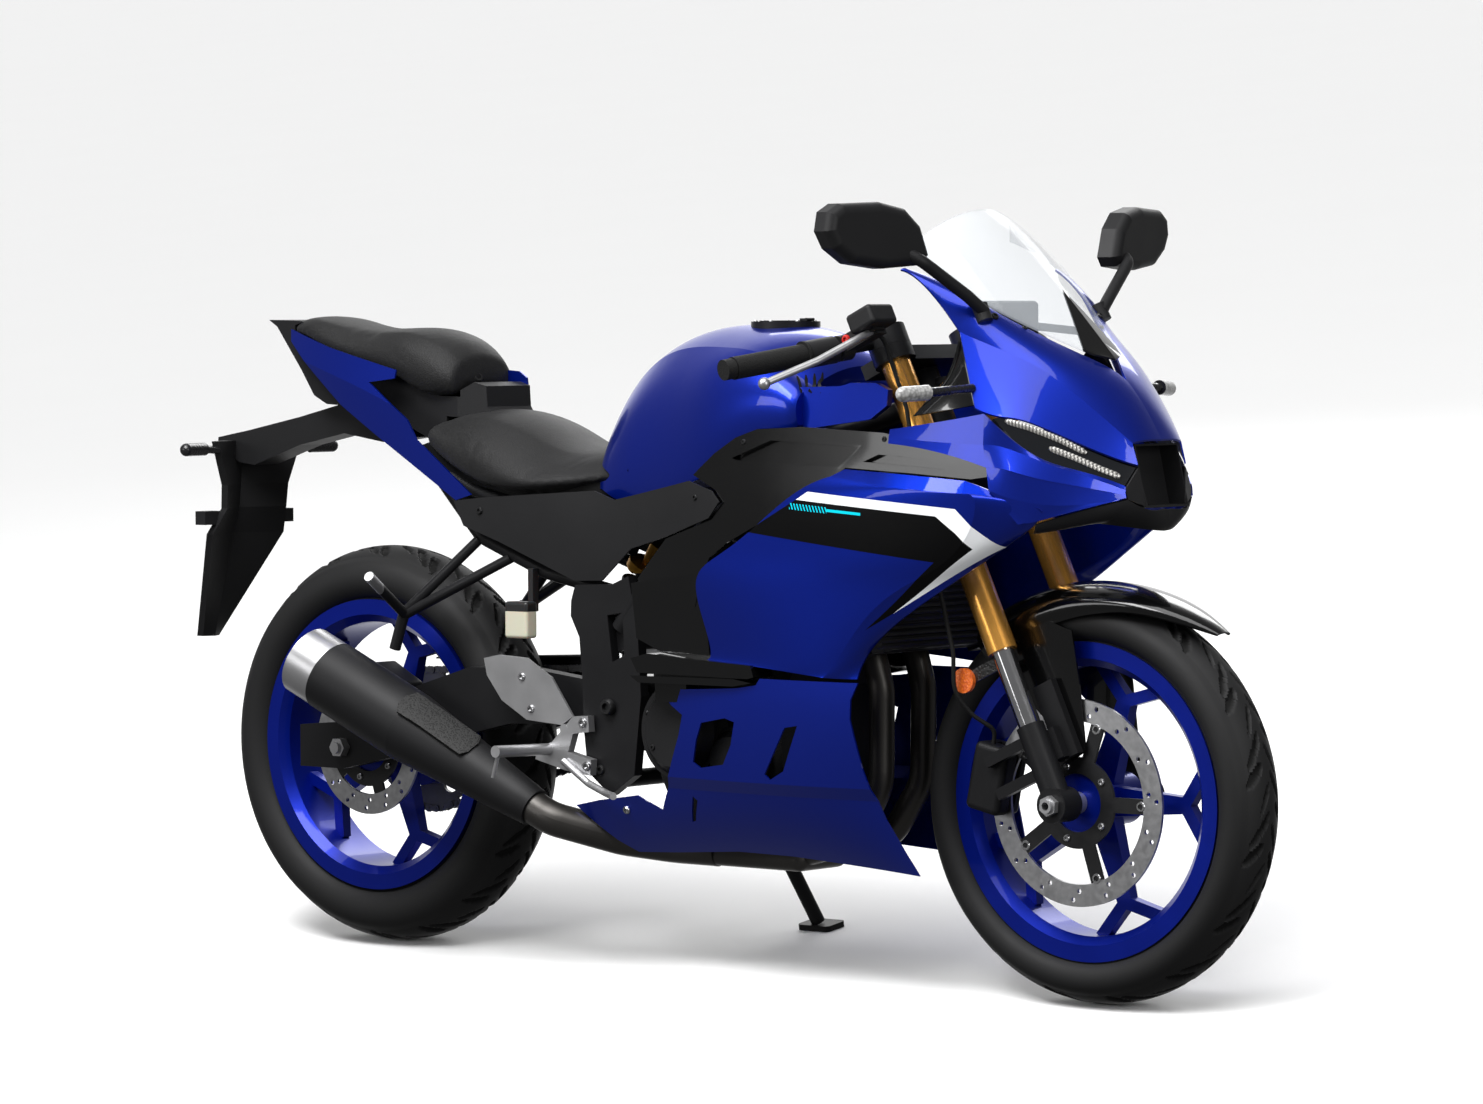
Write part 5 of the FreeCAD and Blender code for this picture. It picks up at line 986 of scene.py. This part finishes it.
light_guide = Finish("light_guide", (0.33, 0.32, 0.30), Metallic=0.55, Coat_Weight=0.6, Coat_Roughness=0.03)
ribs = light_guide.node("TexWave", {"bands_direction": "X"}, {"Vector": light_guide.spot(), "Scale": 75.0})
light_guide.feed("Roughness", ribs * 0.25 + 0.12).bump(ribs, 0.6, 0.6)
light_guide.feed("Base Color", light_guide.mix(ribs, (0.16, 0.155, 0.15, 1), (0.5, 0.49, 0.46, 1)))
upper = [(1338, 172, 840), (1369, 155.4, 829.8), (1404, 131.8, 812.8), (1434, 110, 794)]
lower = [(1394.1, 144.4, 801.6), (1423.9, 123.1, 787.4), (1451.6, 101.4, 771.8), (1472, 82, 760.5)]
ribbon("light_guides", "headlamps", both_sides((upper, lower)), 9.0, 2.2, light_guide, "chassis")

# Tank slots. Four narrow slots lie in each wing of the tank, side by side. They grow longer
# from the first to the last. Each is drawn as a near-black strip on the tank's face, a painted
# shade where the slot sinks in.
SLOTS = 4
# Near-black strips on the tank's face: painted shade where the slots sink in.
slot_black = Finish("slot_black", (0.003, 0.003, 0.003), Specular_IOR_Level=0.1)
slot_black.wear(0.2, 0.5, 0.7, 20.0)
first, last = ((927, 130.7, 901), (950, 149.8, 877)), ((945, 92, 907), (1000, 146, 877))
slots = [[Vector(a).lerp(Vector(b), i / (SLOTS - 1)) for a, b in zip(first, last)] for i in range(SLOTS)]
ribbon("tank_slots", "fuel_tank", both_sides(slots), 5.0, 0.4, slot_black, "chassis")

# Heat shield. A pressed and pierced steel plate in matt black stands over the silencer's neck
# and keeps a boot off the hot metal. Its holes are not cut: they are painted near black as painted
# shade.
HOLE_REACH, HOLE_SHADE, PLATE_BLACK = 0.42, (0.002, 0.002, 0.002, 1), (0.022, 0.022, 0.022, 1)
pierced = Finish("pierced_steel", (0.02, 0.02, 0.021), Metallic=0.3, Specular_IOR_Level=0.3)
cells = pierced.grain(330.0)
pierced.feed("Roughness", cells * 0.2 + 0.5).bump(cells, 0.7, 0.7)
# Inside the holes the plate is painted near black: painted shade in holes that are not cut.
pierced.feed("Base Color", pierced.mix(cells < HOLE_REACH, PLATE_BLACK, HOLE_SHADE))
shield_run = [(216, 218, 405), (262, 210, 384), (306, 203, 360), (345, 198, 341)]
ribbon("heat_shield", "silencer", [shield_run], 50.0, 3.5, pierced, "chassis")

# Mirror glasses. Flat silvered glass set in the backs of the housings. Each is a smaller copy of
# its housing's outline, swept back towards its outer end.
RIM_SHARE, GLASS_BACK, GLASS_FRONT = 0.9, -1.2, 0.6
GLASS_STATION, GLASS_INNER, GLASS_SWEEP = 1216, 218, 36 / 188
mirror_silver = Finish("mirror_silver", (0.8, 0.82, 0.84), Metallic=1.0)
mirror_silver.wear(0.03, 0.02, 0.05, 10.0)
outline = [(218, 1074), (231, 1060), (300, 1055), (359, 1062), (392, 1083), (406, 1107), (401, 1134),
           (380, 1146), (308, 1149), (262, 1140), (234, 1116)]
middle_y = sum(y for y, z in outline) / len(outline)
middle_z = sum(z for y, z in outline) / len(outline)
bm = bmesh.new()
for side in (1, -1):
    rings = []
    for behind in (GLASS_BACK, GLASS_FRONT):
        ring = []
        for y, z in outline:
            y, z = middle_y + (y - middle_y) * RIM_SHARE, middle_z + (z - middle_z) * RIM_SHARE
            station = GLASS_STATION - (y - GLASS_INNER) * GLASS_SWEEP + behind
            ring.append(bm.verts.new((station / 1000, -y * side / 1000, z / 1000)))
        rings.append(ring)
        bm.faces.new(ring)
    wall_between(bm, *rings)
add("mirror_glasses", settle(bm, "mirror_glasses", 30.0), mirror_silver, "chassis")
bpy.data.objects.remove(SCREW)
